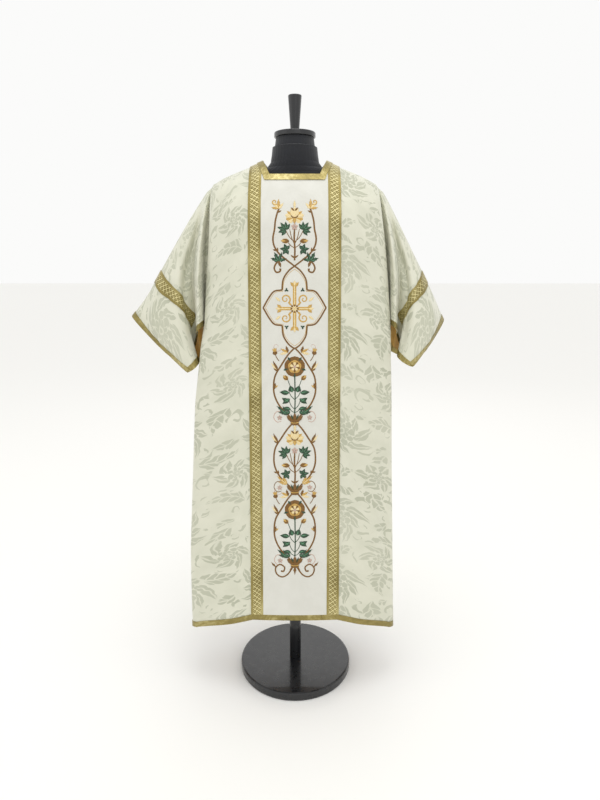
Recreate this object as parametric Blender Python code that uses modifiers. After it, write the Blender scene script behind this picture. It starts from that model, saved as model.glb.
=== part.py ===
"""A dalmatic on a limbless dress form: Roman cut, open under the arms and down the sides, edges bound.

Metres, +Z up. The origin is the middle of the stand's underside, on the floor. The front faces -Y.
"""

import math

import bpy
from mathutils import Vector

# ---- cloth and trims -------------------------------------------------------------------------
CLOTH = 0.002
TRIM = 0.0012
GAP = 0.0003
SEAM = 0.0026          # between two panels that meet at an angle
CREASED_SEAM = 0.0044  # measured down the creases, between the sleeve and the binding of its lower edge
BRAID = 0.015          # width of the gold edge binding
BESIDE = 0.0005        # each side of the line where two trims lie side by side
OVER_CLOTH = CLOTH / 2 + GAP + TRIM / 2
OVER_FOLDS = OVER_CLOTH + 0.0034      # a band that crosses the sleeve's creases
OVER_TRIM = OVER_CLOTH + TRIM + 0.0022    # the neck binding, over the other trims
ORPHREY_LIFT = 1.25    # the orphrey's height over the panel, in OVER_CLOTH

# ---- body of the garment ---------------------------------------------------------------------
NECK_CORNER_X = 0.063  # half the straight front of the neckline
NECK_SIDE_X = 0.083    # where the neckline meets the shoulder seam
NECK_CORNER_LEAN = 0.83  # how far the binding's outer corner lies out from the inner one, in braid widths
NECK_FRONT_Z = 1.368
NECK_BACK_Z = 1.394
FLAT_X = 0.150         # the front hangs flat between these and turns towards the sides outside them
CREST = 0.220          # across-position of the widest line, where the side turns back
EDGE = 0.270           # across-position of the side edge: armhole above, open side below
UNDERARM = 0.360       # below the shoulder seam
BACK_DEPTH = 0.90      # the back is this much as deep as the front

# Height of the shoulder seam across the garment.
SHOULDER = ((0.0, 1.418), (0.063, 1.4145), (0.083, 1.4115), (0.120, 1.396), (0.150, 1.384),
            (0.220, 1.357), (0.270, 1.349))
# Height of the hem across the garment: the sides hang lower, because they start further out on the shoulder.
HEM = ((0.0, 0.214), (0.110, 0.214), (0.150, 0.203), (0.220, 0.160), (0.270, 0.143))
# Radius of the cloth's bend over the shoulder, across the garment: the back drops more steeply.
BEND = {-1: ((0.0, 0.200), (0.083, 0.180), (0.150, 0.130), (0.220, 0.090), (0.270, 0.060)),
        1: ((0.0, 0.095), (0.083, 0.095), (0.150, 0.090), (0.220, 0.080), (0.270, 0.060))}
# One row for each level: how far below the shoulder seam, the depths of the middle, of the line where the
# front starts to turn, of the crest and of the edge, then the left and right half-widths of crest and edge.
LEVELS = (
    # drop   mid    turn   crest  edge   left_crest left_edge right_crest right_edge
    (0.000, 0.118, 0.110, 0.078, 0.050, 0.205, 0.2150, 0.205, 0.2150),
    (0.070, 0.122, 0.115, 0.082, 0.051, 0.208, 0.2165, 0.213, 0.2180),
    (0.150, 0.126, 0.120, 0.084, 0.051, 0.213, 0.2180, 0.223, 0.2255),
    (0.250, 0.129, 0.122, 0.085, 0.052, 0.220, 0.2235, 0.232, 0.2345),
    (0.360, 0.130, 0.124, 0.086, 0.052, 0.227, 0.2280, 0.2395, 0.2405),
    (0.430, 0.130, 0.124, 0.085, 0.050, 0.2385, 0.2360, 0.242, 0.2430),
    (0.465, 0.130, 0.124, 0.084, 0.048, 0.2420, 0.2385, 0.242, 0.2455),
    (0.510, 0.130, 0.124, 0.083, 0.044, 0.2465, 0.2490, 0.2425, 0.2490),
    (0.570, 0.130, 0.124, 0.080, 0.040, 0.252, 0.2620, 0.243, 0.2540),
    (0.740, 0.130, 0.124, 0.078, 0.036, 0.258, 0.2710, 0.245, 0.2570),
    (0.980, 0.131, 0.124, 0.076, 0.034, 0.268, 0.2820, 0.250, 0.2650),
    (1.210, 0.132, 0.125, 0.078, 0.036, 0.268, 0.2840, 0.256, 0.2720),
)
MID, TURN, CREST_Y, EDGE_Y = 1, 2, 3, 4
CREST_X = {-1: 5, 1: 7}
EDGE_X = {-1: 6, 1: 8}

# Grid lines of the body panels, across and down.
ACROSS = (0.0, 0.032, 0.063, 0.073, 0.083, 0.099, 0.115, 0.135, 0.176, 0.198, 0.220, 0.236, 0.252, 0.270)
BAND_INNER, BAND_OUTER = 0.083, 0.115
BEND_ROWS = 6          # rows round the bend over the shoulder
ARMHOLE_ROWS = 3       # rows from the bend down to the underarm
NECK_SLANT_STEPS = 5   # along the binding from the shoulder down to the neckline's corner
NECK_STRAIGHT_STEPS = 6
SMALL_TURN = 0.01      # radians round the bend, for reading the cloth's slope
HANG = (0.12, 0.28, 0.46, 0.65, 0.84)   # rows below the underarm, as parts of the way to the hem

# ---- sleeves ---------------------------------------------------------------------------------
# The sleeve's ridge, from the shoulder's end out to the cuff: x (outwards), y, z.
RIDGE = {
    -1: ((0.215, 0.0, 1.349), (0.233, 0.0, 1.333), (0.274, 0.0, 1.270), (0.3115, 0.0, 1.207),
         (0.369, 0.0, 1.108), (0.414, 0.0, 1.033), (0.440, 0.0, 1.005)),
    1: ((0.215, 0.0, 1.349), (0.2335, 0.0, 1.333), (0.262, 0.003, 1.281), (0.3045, 0.008, 1.196),
        (0.357, 0.016, 1.097), (0.396, 0.023, 1.020), (0.411, 0.026, 0.985)),
}
# One row for each crease or face line, from the armhole to the cuff: how far along the ridge it starts, where
# it passes half way down and where it ends on the lower edge (x outwards, y forwards, z), and how far the
# cloth stands forward of the ridge where it bends over it.
FOLDS_FRONT = {
    -1: (
        # name     along   x mid   y mid  z mid   x low   y low  z low  bend
        ("valley", 0.004, 0.2330, 0.043, 1.170, 0.2350, 0.042, 0.984, 0.050),
        ("flank", 0.008, 0.2375, 0.070, 1.170, 0.2380, 0.076, 0.986, 0.050),
        ("fold", 0.014, 0.2430, 0.090, 1.165, 0.2470, 0.094, 0.978, 0.050),
        ("inside", 0.022, 0.2530, 0.070, 1.160, 0.2560, 0.070, 0.967, 0.049),
        ("deep", 0.036, 0.2660, 0.022, 1.150, 0.2620, 0.012, 0.955, 0.046),
        ("turn", 0.065, 0.2850, 0.040, 1.130, 0.2700, 0.030, 0.907, 0.044),
        ("face", 0.110, 0.3030, 0.060, 1.110, 0.2530, 0.060, 0.889, 0.043),
        ("face2", 0.180, 0.3290, 0.062, 1.080, 0.2560, 0.075, 0.880, 0.040),
        ("face3", 0.260, 0.3560, 0.057, 1.035, 0.2640, 0.079, 0.873, 0.037),
        ("face4", 0.340, 0.3750, 0.050, 0.985, 0.2730, 0.074, 0.867, 0.034),
        ("cuff", 0.412, 0.3680, 0.044, 0.938, 0.2810, 0.066, 0.863, 0.030),
    ),
    1: (
        ("valley", 0.004, 0.2400, 0.043, 1.170, 0.2475, 0.042, 0.984, 0.050),
        ("flank", 0.008, 0.2435, 0.070, 1.170, 0.2490, 0.076, 0.990, 0.050),
        ("fold", 0.014, 0.2500, 0.090, 1.165, 0.2570, 0.094, 0.984, 0.050),
        ("inside", 0.022, 0.2600, 0.070, 1.160, 0.2655, 0.070, 0.973, 0.049),
        ("deep", 0.036, 0.2700, 0.022, 1.150, 0.2720, 0.014, 0.958, 0.046),
        ("turn", 0.065, 0.2860, 0.042, 1.130, 0.2800, 0.034, 0.925, 0.044),
        ("face", 0.110, 0.3000, 0.066, 1.110, 0.2680, 0.070, 0.908, 0.043),
        ("face2", 0.180, 0.3210, 0.074, 1.080, 0.2740, 0.088, 0.897, 0.040),
        ("face3", 0.260, 0.3440, 0.074, 1.035, 0.2840, 0.096, 0.891, 0.037),
        ("face4", 0.340, 0.3640, 0.070, 0.985, 0.2940, 0.098, 0.886, 0.034),
        ("cuff", 0.406, 0.3600, 0.062, 0.942, 0.3030, 0.096, 0.883, 0.030),
    ),
}
# The same lines on the back, as parts of the front's depths: the back folds are softer.
BACK_FOLD_DEPTH = {"valley": 1.00, "flank": 0.92, "fold": 0.86, "inside": 0.86, "deep": 2.60, "turn": 1.15,
                   "face": 0.92, "face2": 0.95, "face3": 0.95, "face4": 0.95, "cuff": 0.95}
RIDGE_FULLNESS = 2.4   # how hard each line leaves the ridge, in its own bend
LOW_PULL = 1.1         # how straight it comes down to the lower edge
NAME, ALONG, X_MID, Y_MID, Z_MID, X_LOW, Y_LOW, Z_LOW, BEND_OVER = range(9)
SLEEVE_LINES = (0, 0.5, 1, 1.5, 2, 2.5, 3, 3.5, 4, 4.5, 5, 5.5, 6, 6.5, 7, 8, 9, 10, 11)   # by crease line
SLEEVE_ROWS = 7        # rows from the ridge to the lower edge, on each side
EDGE_BACK = 0.93       # the binding's inner line, as a part of the way down each line
# The half sleeve laid flat: ridge along the top, armhole down the left, a slanting cuff.
FLAT_ARMHOLE = 0.385
FLAT_CUFF_LOW = (0.320, 0.215)
GALLOON_FROM_CUFF = (0.118, 0.151)   # along the ridge
SEARCH_STEPS = 400     # for finding a flat line's place among the crease lines
CUFF_DOWNS = (0.0, 0.04, 0.08, 0.13, 0.2, 0.3, 0.42, 0.55, 0.68, 0.8, 0.92)
GALLOON_DOWNS = (0.0, 0.04, 0.08, 0.13, 0.19, 0.26, 0.33)     # rows round the bend over the ridge
ROW_APART = 0.04       # the least between two of the galloon's rows, and to the binding
GALLOON_LINES = (8, 7.5, 7, 6.5, 6)       # then rows where it meets these crease lines

# ---- dress form ------------------------------------------------------------------------------
# One row for each level of the body: height, half-width, half-depth, middle (+ is back), corner exponent.
TORSO = (
    (0.742, 0.120, 0.070, 0.000, 2.2), (0.752, 0.150, 0.092, 0.000, 2.2), (0.790, 0.166, 0.104, 0.000, 2.2),
    (0.860, 0.168, 0.106, 0.000, 2.2), (0.950, 0.158, 0.098, -0.002, 2.2), (1.040, 0.158, 0.098, -0.004, 2.2),
    (1.130, 0.170, 0.103, -0.004, 2.3), (1.210, 0.182, 0.102, -0.003, 2.4), (1.270, 0.190, 0.094, 0.000, 2.4),
    (1.310, 0.192, 0.082, 0.000, 2.2), (1.335, 0.186, 0.070, 0.000, 2.1), (1.353, 0.170, 0.060, 0.000, 2.0),
    (1.368, 0.144, 0.055, 0.000, 2.0), (1.382, 0.108, 0.053, 0.000, 2.0), (1.396, 0.074, 0.053, 0.000, 2.0),
    (1.410, 0.064, 0.055, 0.000, 2.0), (1.430, 0.0610, 0.0565, 0.000, 2.0), (1.449, 0.0590, 0.0570, 0.000, 2.0),
    (1.4505, 0.0530, 0.0525, 0.000, 2.0), (1.474, 0.0498, 0.0498, 0.000, 2.0),
)
TORSO_SIDES = 40
CAP_RADIUS, CAP_LOW_Z, CAP_HIGH_Z = 0.0545, 1.4745, 1.4880
CAP_ROUNDING, HANDLE_ROUNDING, BASE_ROUNDING = 0.0025, 0.002, 0.004
HANDLE_HIGH_Z, HANDLE_LOW_R, HANDLE_HIGH_R = 1.583, 0.0112, 0.0180
POLE_RADIUS = 0.016
BASE_RADIUS, BASE_HEIGHT = 0.155, 0.022

DAMASK = ("ivory_damask", "E8E6D6", 0.62, 0.0)
PLAIN = ("plain_ivory", "EFEAE2", 0.75, 0.0)
GALLOON = ("gold_galloon", "C9A84C", 0.45, 0.35)
JERSEY = ("black_jersey", "14161A", 0.85, 0.0)
LACQUER = ("black_lacquer", "0D0E11", 0.30, 0.0)


# ---- helpers ---------------------------------------------------------------------------------
def linear(hex_colour):
    """A hex sRGB colour as linear RGBA."""
    parts = [int(hex_colour[i:i + 2], 16) / 255 for i in (0, 2, 4)]
    return [c / 12.92 if c < 0.04045 else ((c + 0.055) / 1.055) ** 2.4 for c in parts] + [1.0]


def finish(obj, spec):
    """Give the object its material and put it in the garment's collection."""
    name, colour, roughness, metallic = spec
    material = bpy.data.materials.get(name)
    if material is None:
        material = bpy.data.materials.new(name)
        material.use_nodes = True
        shader = material.node_tree.nodes["Principled BSDF"]
        shader.inputs["Base Color"].default_value = linear(colour)
        shader.inputs["Roughness"].default_value = roughness
        shader.inputs["Metallic"].default_value = metallic
    obj.data.materials.clear()
    obj.data.materials.append(material)
    for collection in obj.users_collection:
        collection.objects.unlink(obj)
    bpy.data.collections["dalmatic_on_form"].objects.link(obj)
    obj.data.shade_smooth()
    obj.data.set_sharp_from_angle(angle=math.radians(40))


def lookup(table, x):
    """Straight-line reading of a table of (place, value) rows."""
    for (x0, y0), (x1, y1) in zip(table, table[1:]):
        if x <= x1:
            return y0 + (y1 - y0) * (x - x0) / (x1 - x0)
    return table[-1][1]


def spline(points, s):
    """Smooth curve through equally spaced points, s from 0 to 1 over all of them."""
    last = len(points) - 1
    i = min(int(s * last), last - 1)
    f = s * last - i
    p1, p2 = points[i], points[i + 1]
    p0 = points[i - 1] if i > 0 else 2 * p1 - p2
    p3 = points[i + 2] if i < last - 1 else 2 * p2 - p1
    return 0.5 * (2 * p1 + (p2 - p0) * f + (2 * p0 - 5 * p1 + 4 * p2 - p3) * f ** 2
                  + (3 * p1 - p0 - 3 * p2 + p3) * f ** 3)


def hermite(a, leave_a, b, leave_b, f):
    """Curve from a to b with the given directions at its ends."""
    return (a * (2 * f ** 3 - 3 * f ** 2 + 1) + leave_a * (f ** 3 - 2 * f ** 2 + f)
            + b * (3 * f ** 2 - 2 * f ** 3) + leave_b * (f ** 3 - f ** 2))


# ---- the body's cloth ------------------------------------------------------------------------
def level(drop, column):
    return lookup([(row[0], row[column]) for row in LEVELS], drop)


def place_on_body(across, drop, forward, face):
    """Point of the body's cloth: across is signed, forward is how far the bend is passed (0 to 1)."""
    side = -1 if across < 0 else 1
    s = abs(across)
    mid, turn = level(drop, MID), level(drop, TURN)
    if s <= FLAT_X:
        x, y = s, mid + (turn - mid) * (s / FLAT_X) ** 2
    else:
        line = [Vector((FLAT_X / 2, mid + (turn - mid) / 4)), Vector((FLAT_X, turn)),
                Vector((level(drop, CREST_X[side]), level(drop, CREST_Y))),
                Vector((level(drop, EDGE_X[side]), level(drop, EDGE_Y)))]
        if s <= CREST:
            part = (1 + (s - FLAT_X) / (CREST - FLAT_X)) / 3
        else:
            part = (2 + (s - CREST) / (EDGE - CREST)) / 3
        x, y = spline(line, min(part, 1.0))
    depth = y * forward * (1.0 if face < 0 else BACK_DEPTH)
    return Vector((side * x, face * (depth + 2 * GAP), lookup(SHOULDER, s) - drop))


def body_point(across, row, face):
    """Point of a body panel's grid line: row counts the grid's rows, and may be fractional."""
    s = abs(across)
    bend = lookup(BEND[face], s)
    top_angle = 0.0
    if s < NECK_SIDE_X:
        corner_z = NECK_FRONT_Z if face < 0 else NECK_BACK_Z
        up_the_slant = max(0.0, (s - NECK_CORNER_X) / (NECK_SIDE_X - NECK_CORNER_X))
        neck_drop = (lookup(SHOULDER, s) - corner_z) * (1 - up_the_slant)
        top_angle = math.acos(1 - neck_drop / bend)
    if row <= BEND_ROWS:
        half = BEND_ROWS / 2
        if row < half:
            angle = top_angle + (math.pi / 4 - top_angle) * row / half
        else:
            angle = math.pi / 4 * row / half
        return place_on_body(across, bend * (1 - math.cos(angle)), math.sin(angle), face)
    if row <= BEND_ROWS + ARMHOLE_ROWS:
        drop = bend + (UNDERARM - bend) * (row - BEND_ROWS) / ARMHOLE_ROWS
        return place_on_body(across, drop, 1.0, face)
    whole = lookup(SHOULDER, s) - lookup(HEM, s)
    parts = (0.0, *HANG, 1 - BRAID / (whole - UNDERARM), 1.0)
    i = min(int(row) - BEND_ROWS - ARMHOLE_ROWS, len(parts) - 2)
    f = row - BEND_ROWS - ARMHOLE_ROWS - i
    drop = UNDERARM + (whole - UNDERARM) * (parts[i] + (parts[i + 1] - parts[i]) * f)
    return place_on_body(across, drop, 1.0, face)


ROWS = BEND_ROWS + ARMHOLE_ROWS + len(HANG) + 2
UNDERARM_ROW = BEND_ROWS + ARMHOLE_ROWS


def body_grid(face):
    """The panel's points: a list of rows, each from the left edge to the right edge."""
    columns = [-s for s in reversed(ACROSS[1:])] + list(ACROSS)
    return [[body_point(c, row, face) for c in columns] for row in range(ROWS + 1)]


def column_of(across):
    """Index of a grid line in body_grid's rows."""
    middle = len(ACROSS) - 1
    return middle + (1 if across >= 0 else -1) * ACROSS.index(abs(across))


# ---- the sleeves' cloth ----------------------------------------------------------------------
def ridge_point(side, along):
    """Point on the sleeve's ridge, along metres out from the shoulder's end."""
    points = [Vector(p) for p in RIDGE[side]]
    gone = 0.0
    for a, b in zip(points, points[1:]):
        step = (b - a).length
        if gone + step >= along or b is points[-1]:
            return a + (b - a) * ((along - gone) / step)
        gone += step
    return points[-1]


def fold_line(side, face, index, down):
    """Point of one of the sleeve's lines: index 0 is the armhole seam, down runs 0 at the ridge to 1."""
    if index == 0:
        row = seam_row(side, face, down)
        edge = body_point(side * EDGE, row, face)
        crest = body_point(side * (EDGE - BESIDE), row, face)
        away = (edge - crest).normalized() * SEAM
        point = edge + away
        return Vector((abs(point.x), -point.y, point.z))
    fold = FOLDS_FRONT[side][index - 1]
    deep = 1.0 if face < 0 else BACK_FOLD_DEPTH[fold[NAME]]
    top = ridge_point(side, fold[ALONG])
    towards = -face
    middle = Vector((fold[X_MID], -top.y * 0.5 + towards * fold[Y_MID] * deep, fold[Z_MID]))
    low = Vector((fold[X_LOW], towards * fold[Y_LOW] * deep, fold[Z_LOW]))
    top = Vector((top.x, -top.y, top.z))
    over = Vector((0, towards * fold[BEND_OVER] * RIDGE_FULLNESS, 0))
    through = (low - top) * 0.5
    if down <= 0.5:
        return hermite(top, over, middle, through, down * 2)
    return hermite(middle, through, low, (low - middle) * LOW_PULL, down * 2 - 1)


def seam_row(side, face, down):
    """The row of the body's side edge that is as far down the armhole as the sleeve's first crease line is."""
    start, here, end = (fold_line(side, face, 1, d).z for d in (0.0, down, 1.0))
    top, low = body_point(side * EDGE, 0, face).z, body_point(side * EDGE, UNDERARM_ROW, face).z
    height = top + (here - start) * (low - top) / (end - start)
    near, far = 0.0, float(UNDERARM_ROW)
    for _ in range(30):
        middle = (near + far) / 2
        if body_point(side * EDGE, middle, face).z > height:
            near = middle
        else:
            far = middle
    return far if down > 0 else 0.0


def sleeve_point(side, line, down):
    """Point of the sleeve: line runs over the fold lines, down from -1 (front) over 0 (ridge) to 1 (back)."""
    face = -1 if down < 0 else 1
    count = len(FOLDS_FRONT[side])
    around = [fold_line(side, face, min(max(i, 0), count), abs(down))
              for i in range(int(line) - 1, int(line) + 3)]
    if int(line) == 0:
        around[0] = 2 * around[1] - around[2]
    if int(line) >= count - 1:
        around[3] = 2 * around[2] - around[1]
    if int(line) >= count:
        point = around[1]
    else:
        point = spline(around, (1 + line - int(line)) / 3)
    return Vector((side * point.x, -point.y, point.z))


def lower_edge_lengths(side):
    """Distance along the front lower edge from the armhole to each fold line."""
    lengths = [0.0]
    for k in range(len(FOLDS_FRONT[side])):
        lengths.append(lengths[-1] + (fold_line(side, -1, k + 1, 1.0) - fold_line(side, -1, k, 1.0)).length)
    return lengths


def flat_place(side, line, down):
    """Where a sleeve point lies when the half sleeve is laid flat."""
    folds = FOLDS_FRONT[side]
    i = min(int(line), len(folds) - 1)
    alongs = [0.0] + [fold[ALONG] for fold in folds]
    top = alongs[i] + (alongs[i + 1] - alongs[i]) * (line - i)
    steps = LOWER_EDGE[side]
    low = (steps[i] + (steps[i + 1] - steps[i]) * (line - i)) / steps[-1]
    low_u = FLAT_CUFF_LOW[0] * low
    low_v = FLAT_ARMHOLE + (FLAT_CUFF_LOW[1] - FLAT_ARMHOLE) * low
    return top + (low_u - top) * abs(down), low_v * abs(down)


def across_sleeve(side, from_cuff, down):
    """The place on the sleeve's lines, this far down them, of the flat straight line parallel to the cuff."""
    count = len(FOLDS_FRONT[side])
    ridge_length = FOLDS_FRONT[side][-1][ALONG]

    def miss(line):
        u, v = flat_place(side, line, down)
        return abs(u - (ridge_length - from_cuff - cuff_slant(side) * v))
    return min((count * step / SEARCH_STEPS for step in range(SEARCH_STEPS + 1)), key=miss)


def down_line(side, from_cuff, line):
    """How far down a crease line it meets the flat straight line parallel to the cuff."""
    top = flat_place(side, line, 0.0)[0]
    low_u, low_v = flat_place(side, line, 1.0)
    start = FOLDS_FRONT[side][-1][ALONG] - from_cuff
    return (start - top) / (low_u - top + cuff_slant(side) * low_v)


def cuff_slant(side):
    """How far the flat cuff leans in for each metre down from the ridge."""
    return (FOLDS_FRONT[side][-1][ALONG] - FLAT_CUFF_LOW[0]) / FLAT_CUFF_LOW[1]


LOWER_EDGE = {side: lower_edge_lengths(side) for side in (-1, 1)}


# ---- sheets ----------------------------------------------------------------------------------
def offsets(rows):
    """For each point of a grid, the move that takes the cells around it out by one unit."""
    cells = [[(rows[r + 1][c + 1] - rows[r][c]).cross(rows[r + 1][c] - rows[r][c + 1]).normalized()
              for c in range(len(rows[0]) - 1)] for r in range(len(rows) - 1)]
    result = []
    for r in range(len(rows)):
        line = []
        for c in range(len(rows[0])):
            around = [cells[i][j] for i in (r - 1, r) for j in (c - 1, c)
                      if 0 <= i < len(cells) and 0 <= j < len(cells[0])]
            middle = sum(around, Vector()).normalized()
            line.append(middle / max(0.4, min(middle.dot(cell) for cell in around)))
        result.append(line)
    return result


def lifted(rows, height, r0, r1, c0, c1):
    """Part of a grid of points, rows r0 to r1 and columns c0 to c1, moved out by height."""
    part = [row[c0:c1 + 1] for row in rows[r0:r1 + 1]]
    return [[point + out * height for point, out in zip(*pair)] for pair in zip(part, offsets(part))]


def trimmed(rows, left=0.0, right=0.0, top=0.0, bottom=0.0):
    """Draw the edges of a grid of points in by the given distances."""
    def towards(a, b, distance):
        return a + (b - a).normalized() * distance if distance else a
    rows = [list(row) for row in rows]
    for row in rows:
        row[0], row[-1] = towards(row[0], row[1], left), towards(row[-1], row[-2], right)
    top_row = [towards(a, b, top) for a, b in zip(rows[0], rows[1])]
    low_row = [towards(a, b, bottom) for a, b in zip(rows[-1], rows[-2])]
    rows[0], rows[-1] = top_row, low_row
    return rows


def sheet(name, rows, thickness, spec, flip=False):
    """A cloth wall through a grid of points: a grid primitive moved onto them, with Solidify."""
    down, across = len(rows) - 1, len(rows[0]) - 1
    bpy.ops.mesh.primitive_grid_add(x_subdivisions=across, y_subdivisions=down, size=2)
    obj = bpy.context.object
    obj.name = name
    obj.data.name = name
    for vertex in obj.data.vertices:
        c = round((vertex.co.x + 1) / 2 * across)
        r = down - round((vertex.co.y + 1) / 2 * down)
        vertex.co = rows[r][c]
    if flip:
        obj.data.flip_normals()
    # the same diagonal in every cell, so that a trim's faces run parallel to those of the panel below it
    obj.modifiers.new("diagonals", "TRIANGULATE").quad_method = "FIXED"
    solidify = obj.modifiers.new("wall", "SOLIDIFY")
    solidify.thickness = thickness
    solidify.offset = 0
    finish(obj, spec)


def body_panel(face, name):
    rows = body_grid(face)
    sheet(name, rows, CLOTH, DAMASK, flip=face > 0)
    return rows


# ---- build -----------------------------------------------------------------------------------
def clear_scene():
    for obj in list(bpy.data.objects):
        bpy.data.objects.remove(obj, do_unlink=True)
    collection = bpy.data.collections.new("dalmatic_on_form")
    bpy.context.scene.collection.children.link(collection)


def build_body():
    """Front and back panels, and the trims that lie on them, all from the panels' own grid points."""
    for face, word in ((-1, "front"), (1, "back")):
        rows = body_panel(face, word + "_panel")
        height = OVER_CLOTH * outward_sign(rows, face)
        last = len(rows[0]) - 1
        hem = trimmed(lifted(rows, height, ROWS - 1, ROWS, 0, last), top=GAP)
        sheet("hem_binding_" + word, hem, TRIM, GALLOON, flip=face > 0)
        for side, side_word in ((-1, "left"), (1, "right")):
            inner, outer = column_of(side * 0.252), column_of(side * EDGE)
            c0, c1 = min(inner, outer), max(inner, outer)
            strip = lifted(rows, height, UNDERARM_ROW, ROWS - 1, c0, c1)
            strip = trimmed(strip, bottom=GAP)
            sheet(f"side_binding_{word}_{side_word}", strip, TRIM, GALLOON, flip=face > 0)
        if face < 0:
            build_front_trims(rows, height)


def build_front_trims(rows, height):
    """The plain orphrey panel and the two galloons over its edges, down to the hem binding."""
    left, right = column_of(-BAND_INNER), column_of(BAND_INNER)
    orphrey = lifted(rows, height * ORPHREY_LIFT, 1, ROWS - 1, left, right)
    sheet("orphrey_panel", trimmed(orphrey, left=BESIDE, right=BESIDE, bottom=GAP), TRIM, PLAIN)
    for side, word in ((-1, "left"), (1, "right")):
        inner, outer = column_of(side * BAND_INNER), column_of(side * BAND_OUTER)
        band = lifted(rows, height, 0, ROWS - 1, min(inner, outer), max(inner, outer))
        sheet("front_galloon_" + word, trimmed(band, left=BESIDE, right=BESIDE, bottom=GAP), TRIM, GALLOON)


def outward_sign(rows, face):
    """Whether the grid's normals point away from the body (1) or into it (-1)."""
    normal = offsets(rows)[ROWS // 2][len(rows[0]) // 2]
    return 1.0 if normal.y * face > 0 else -1.0


def neckline(face, widen):
    """The neckline over one face, from one shoulder to the other, as (across, angle round the bend) places.
    widen draws it out by the binding's width."""
    corner_z = (NECK_FRONT_Z if face < 0 else NECK_BACK_Z) - widen
    corner_x = NECK_CORNER_X + NECK_CORNER_LEAN * widen
    side_x = NECK_SIDE_X + widen
    drop = lookup(SHOULDER, corner_x) - corner_z
    bend = lookup(BEND[face], corner_x)
    corner_angle = math.acos(1 - drop / bend)
    places = []
    for step in range(NECK_SLANT_STEPS):
        angle = corner_angle * step / NECK_SLANT_STEPS
        part = bend * (1 - math.cos(angle)) / drop
        places.append((side_x + (corner_x - side_x) * part, angle))
    places += [(corner_x * (1 - 2 * step / NECK_STRAIGHT_STEPS), None) for step in range(NECK_STRAIGHT_STEPS)]
    places = [(x, angle_at(x, corner_z, face) if angle is None else angle) for x, angle in places]
    mirrored = [(-x, angle) for x, angle in reversed(places[:NECK_SLANT_STEPS + 1])]
    return places + mirrored[:-1]


def angle_at(across, height, face):
    """How far round the bend the body's cloth comes down to a height."""
    drop = lookup(SHOULDER, abs(across)) - height
    return math.acos(1 - drop / lookup(BEND[face], abs(across)))


def build_neck_binding():
    """A closed braid round the neckline, over the front galloons' upper ends."""
    front = list(zip(neckline(-1, 0.0), neckline(-1, BRAID)))
    back = list(zip(neckline(1, 0.0), neckline(1, BRAID)))
    around = [(-1, pair) for pair in front] + [(1, [(-x, angle) for x, angle in pair]) for pair in back]
    bpy.ops.mesh.primitive_cylinder_add(vertices=len(around), end_fill_type="NOTHING")
    obj = bpy.context.object
    obj.name = "neck_binding"
    for vertex in obj.data.vertices:
        turn = math.atan2(vertex.co.x, vertex.co.y) / (2 * math.pi)
        face, (inner, outer) = around[round(turn * len(around)) % len(around)]
        across, angle = inner if vertex.co.z > 0 else outer
        vertex.co = over_neckline(across, angle, face)
    orient_outwards(obj)
    solidify = obj.modifiers.new("wall", "SOLIDIFY")
    solidify.thickness = TRIM
    solidify.offset = 0
    finish(obj, GALLOON)


def over_neckline(across, angle, face):
    """A point of the neck binding: the body's cloth at a place across and round its bend, lifted off it."""
    def cloth(x, turn):
        bend = lookup(BEND[face], abs(x))
        return place_on_body(x, bend * (1 - math.cos(turn)), math.sin(turn), face)
    here = cloth(across, angle)
    if angle < SMALL_TURN:
        return Vector((here.x, 0, here.z + OVER_TRIM))
    along = cloth(across + CLOTH, angle) - cloth(across - CLOTH, angle)
    down = cloth(across, angle + SMALL_TURN) - cloth(across, angle - SMALL_TURN)
    normal = along.cross(down).normalized()
    if normal.y * face < 0:
        normal = -normal
    return here + normal * OVER_TRIM


def orient_outwards(obj):
    """Point an open ring's faces up and away from the neck."""
    total = sum((face.normal.z * face.area for face in obj.data.polygons), 0.0)
    if total < 0:
        obj.data.flip_normals()


def build_sleeve(side):
    """One sleeve with its galloon, cuff binding and the bindings of its open lower edge."""
    word = "left" if side < 0 else "right"
    steps = [EDGE_BACK * k / (SLEEVE_ROWS - 1) for k in range(SLEEVE_ROWS)] + [1.0]
    downs = [-d for d in reversed(steps[1:])] + steps
    rows = [[sleeve_point(side, line, down) for line in SLEEVE_LINES] for down in downs]
    flip = side > 0
    out = 1.0 if side > 0 else -1.0
    sheet("sleeve_" + word, rows[1:-1], CLOTH, DAMASK, flip)
    # the binding holds the sleeve's raw edge, so it carries the sheet on from its last row
    edges = (("front", trimmed(rows[:2], left=SEAM, bottom=CREASED_SEAM)),
             ("back", trimmed(rows[-2:], left=SEAM, top=CREASED_SEAM)))
    for name, edge in edges:
        sheet(f"underarm_binding_{name}_{word}", edge, CLOTH, GALLOON, flip)
    for name, places in (("cuff_binding_", cuff_places(side)), ("sleeve_galloon_", galloon_places(side))):
        strip = [[sleeve_point(side, line, -down) for line, down in row] for row in reversed(places)]
        strip += [[sleeve_point(side, line, down) for line, down in row] for row in places[1:]]
        sheet(name + word, lifted(strip, OVER_FOLDS * out, 0, len(strip) - 1, 0, 2), TRIM, GALLOON, flip)


def cuff_places(side):
    """(line, down) places of the cuff binding's three lines, a row at a time from the ridge down."""
    return [[(across_sleeve(side, BRAID * f, down), down) for f in (1.0, 0.5, 0.0)] for down in CUFF_DOWNS]


def galloon_places(side):
    """The same for the band parallel to the cuff."""
    near, far = GALLOON_FROM_CUFF
    offsets = (far, (near + far) / 2, near)
    rows = [[(across_sleeve(side, offset, down), down) for offset in offsets] for down in GALLOON_DOWNS]
    for line in GALLOON_LINES:
        downs = [down_line(side, offset, line) for offset in offsets]
        if max(downs) < EDGE_BACK - ROW_APART and min(downs) > GALLOON_DOWNS[-1] + ROW_APART:
            rows.append([(line, down) for down in downs])
    return rows


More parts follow.
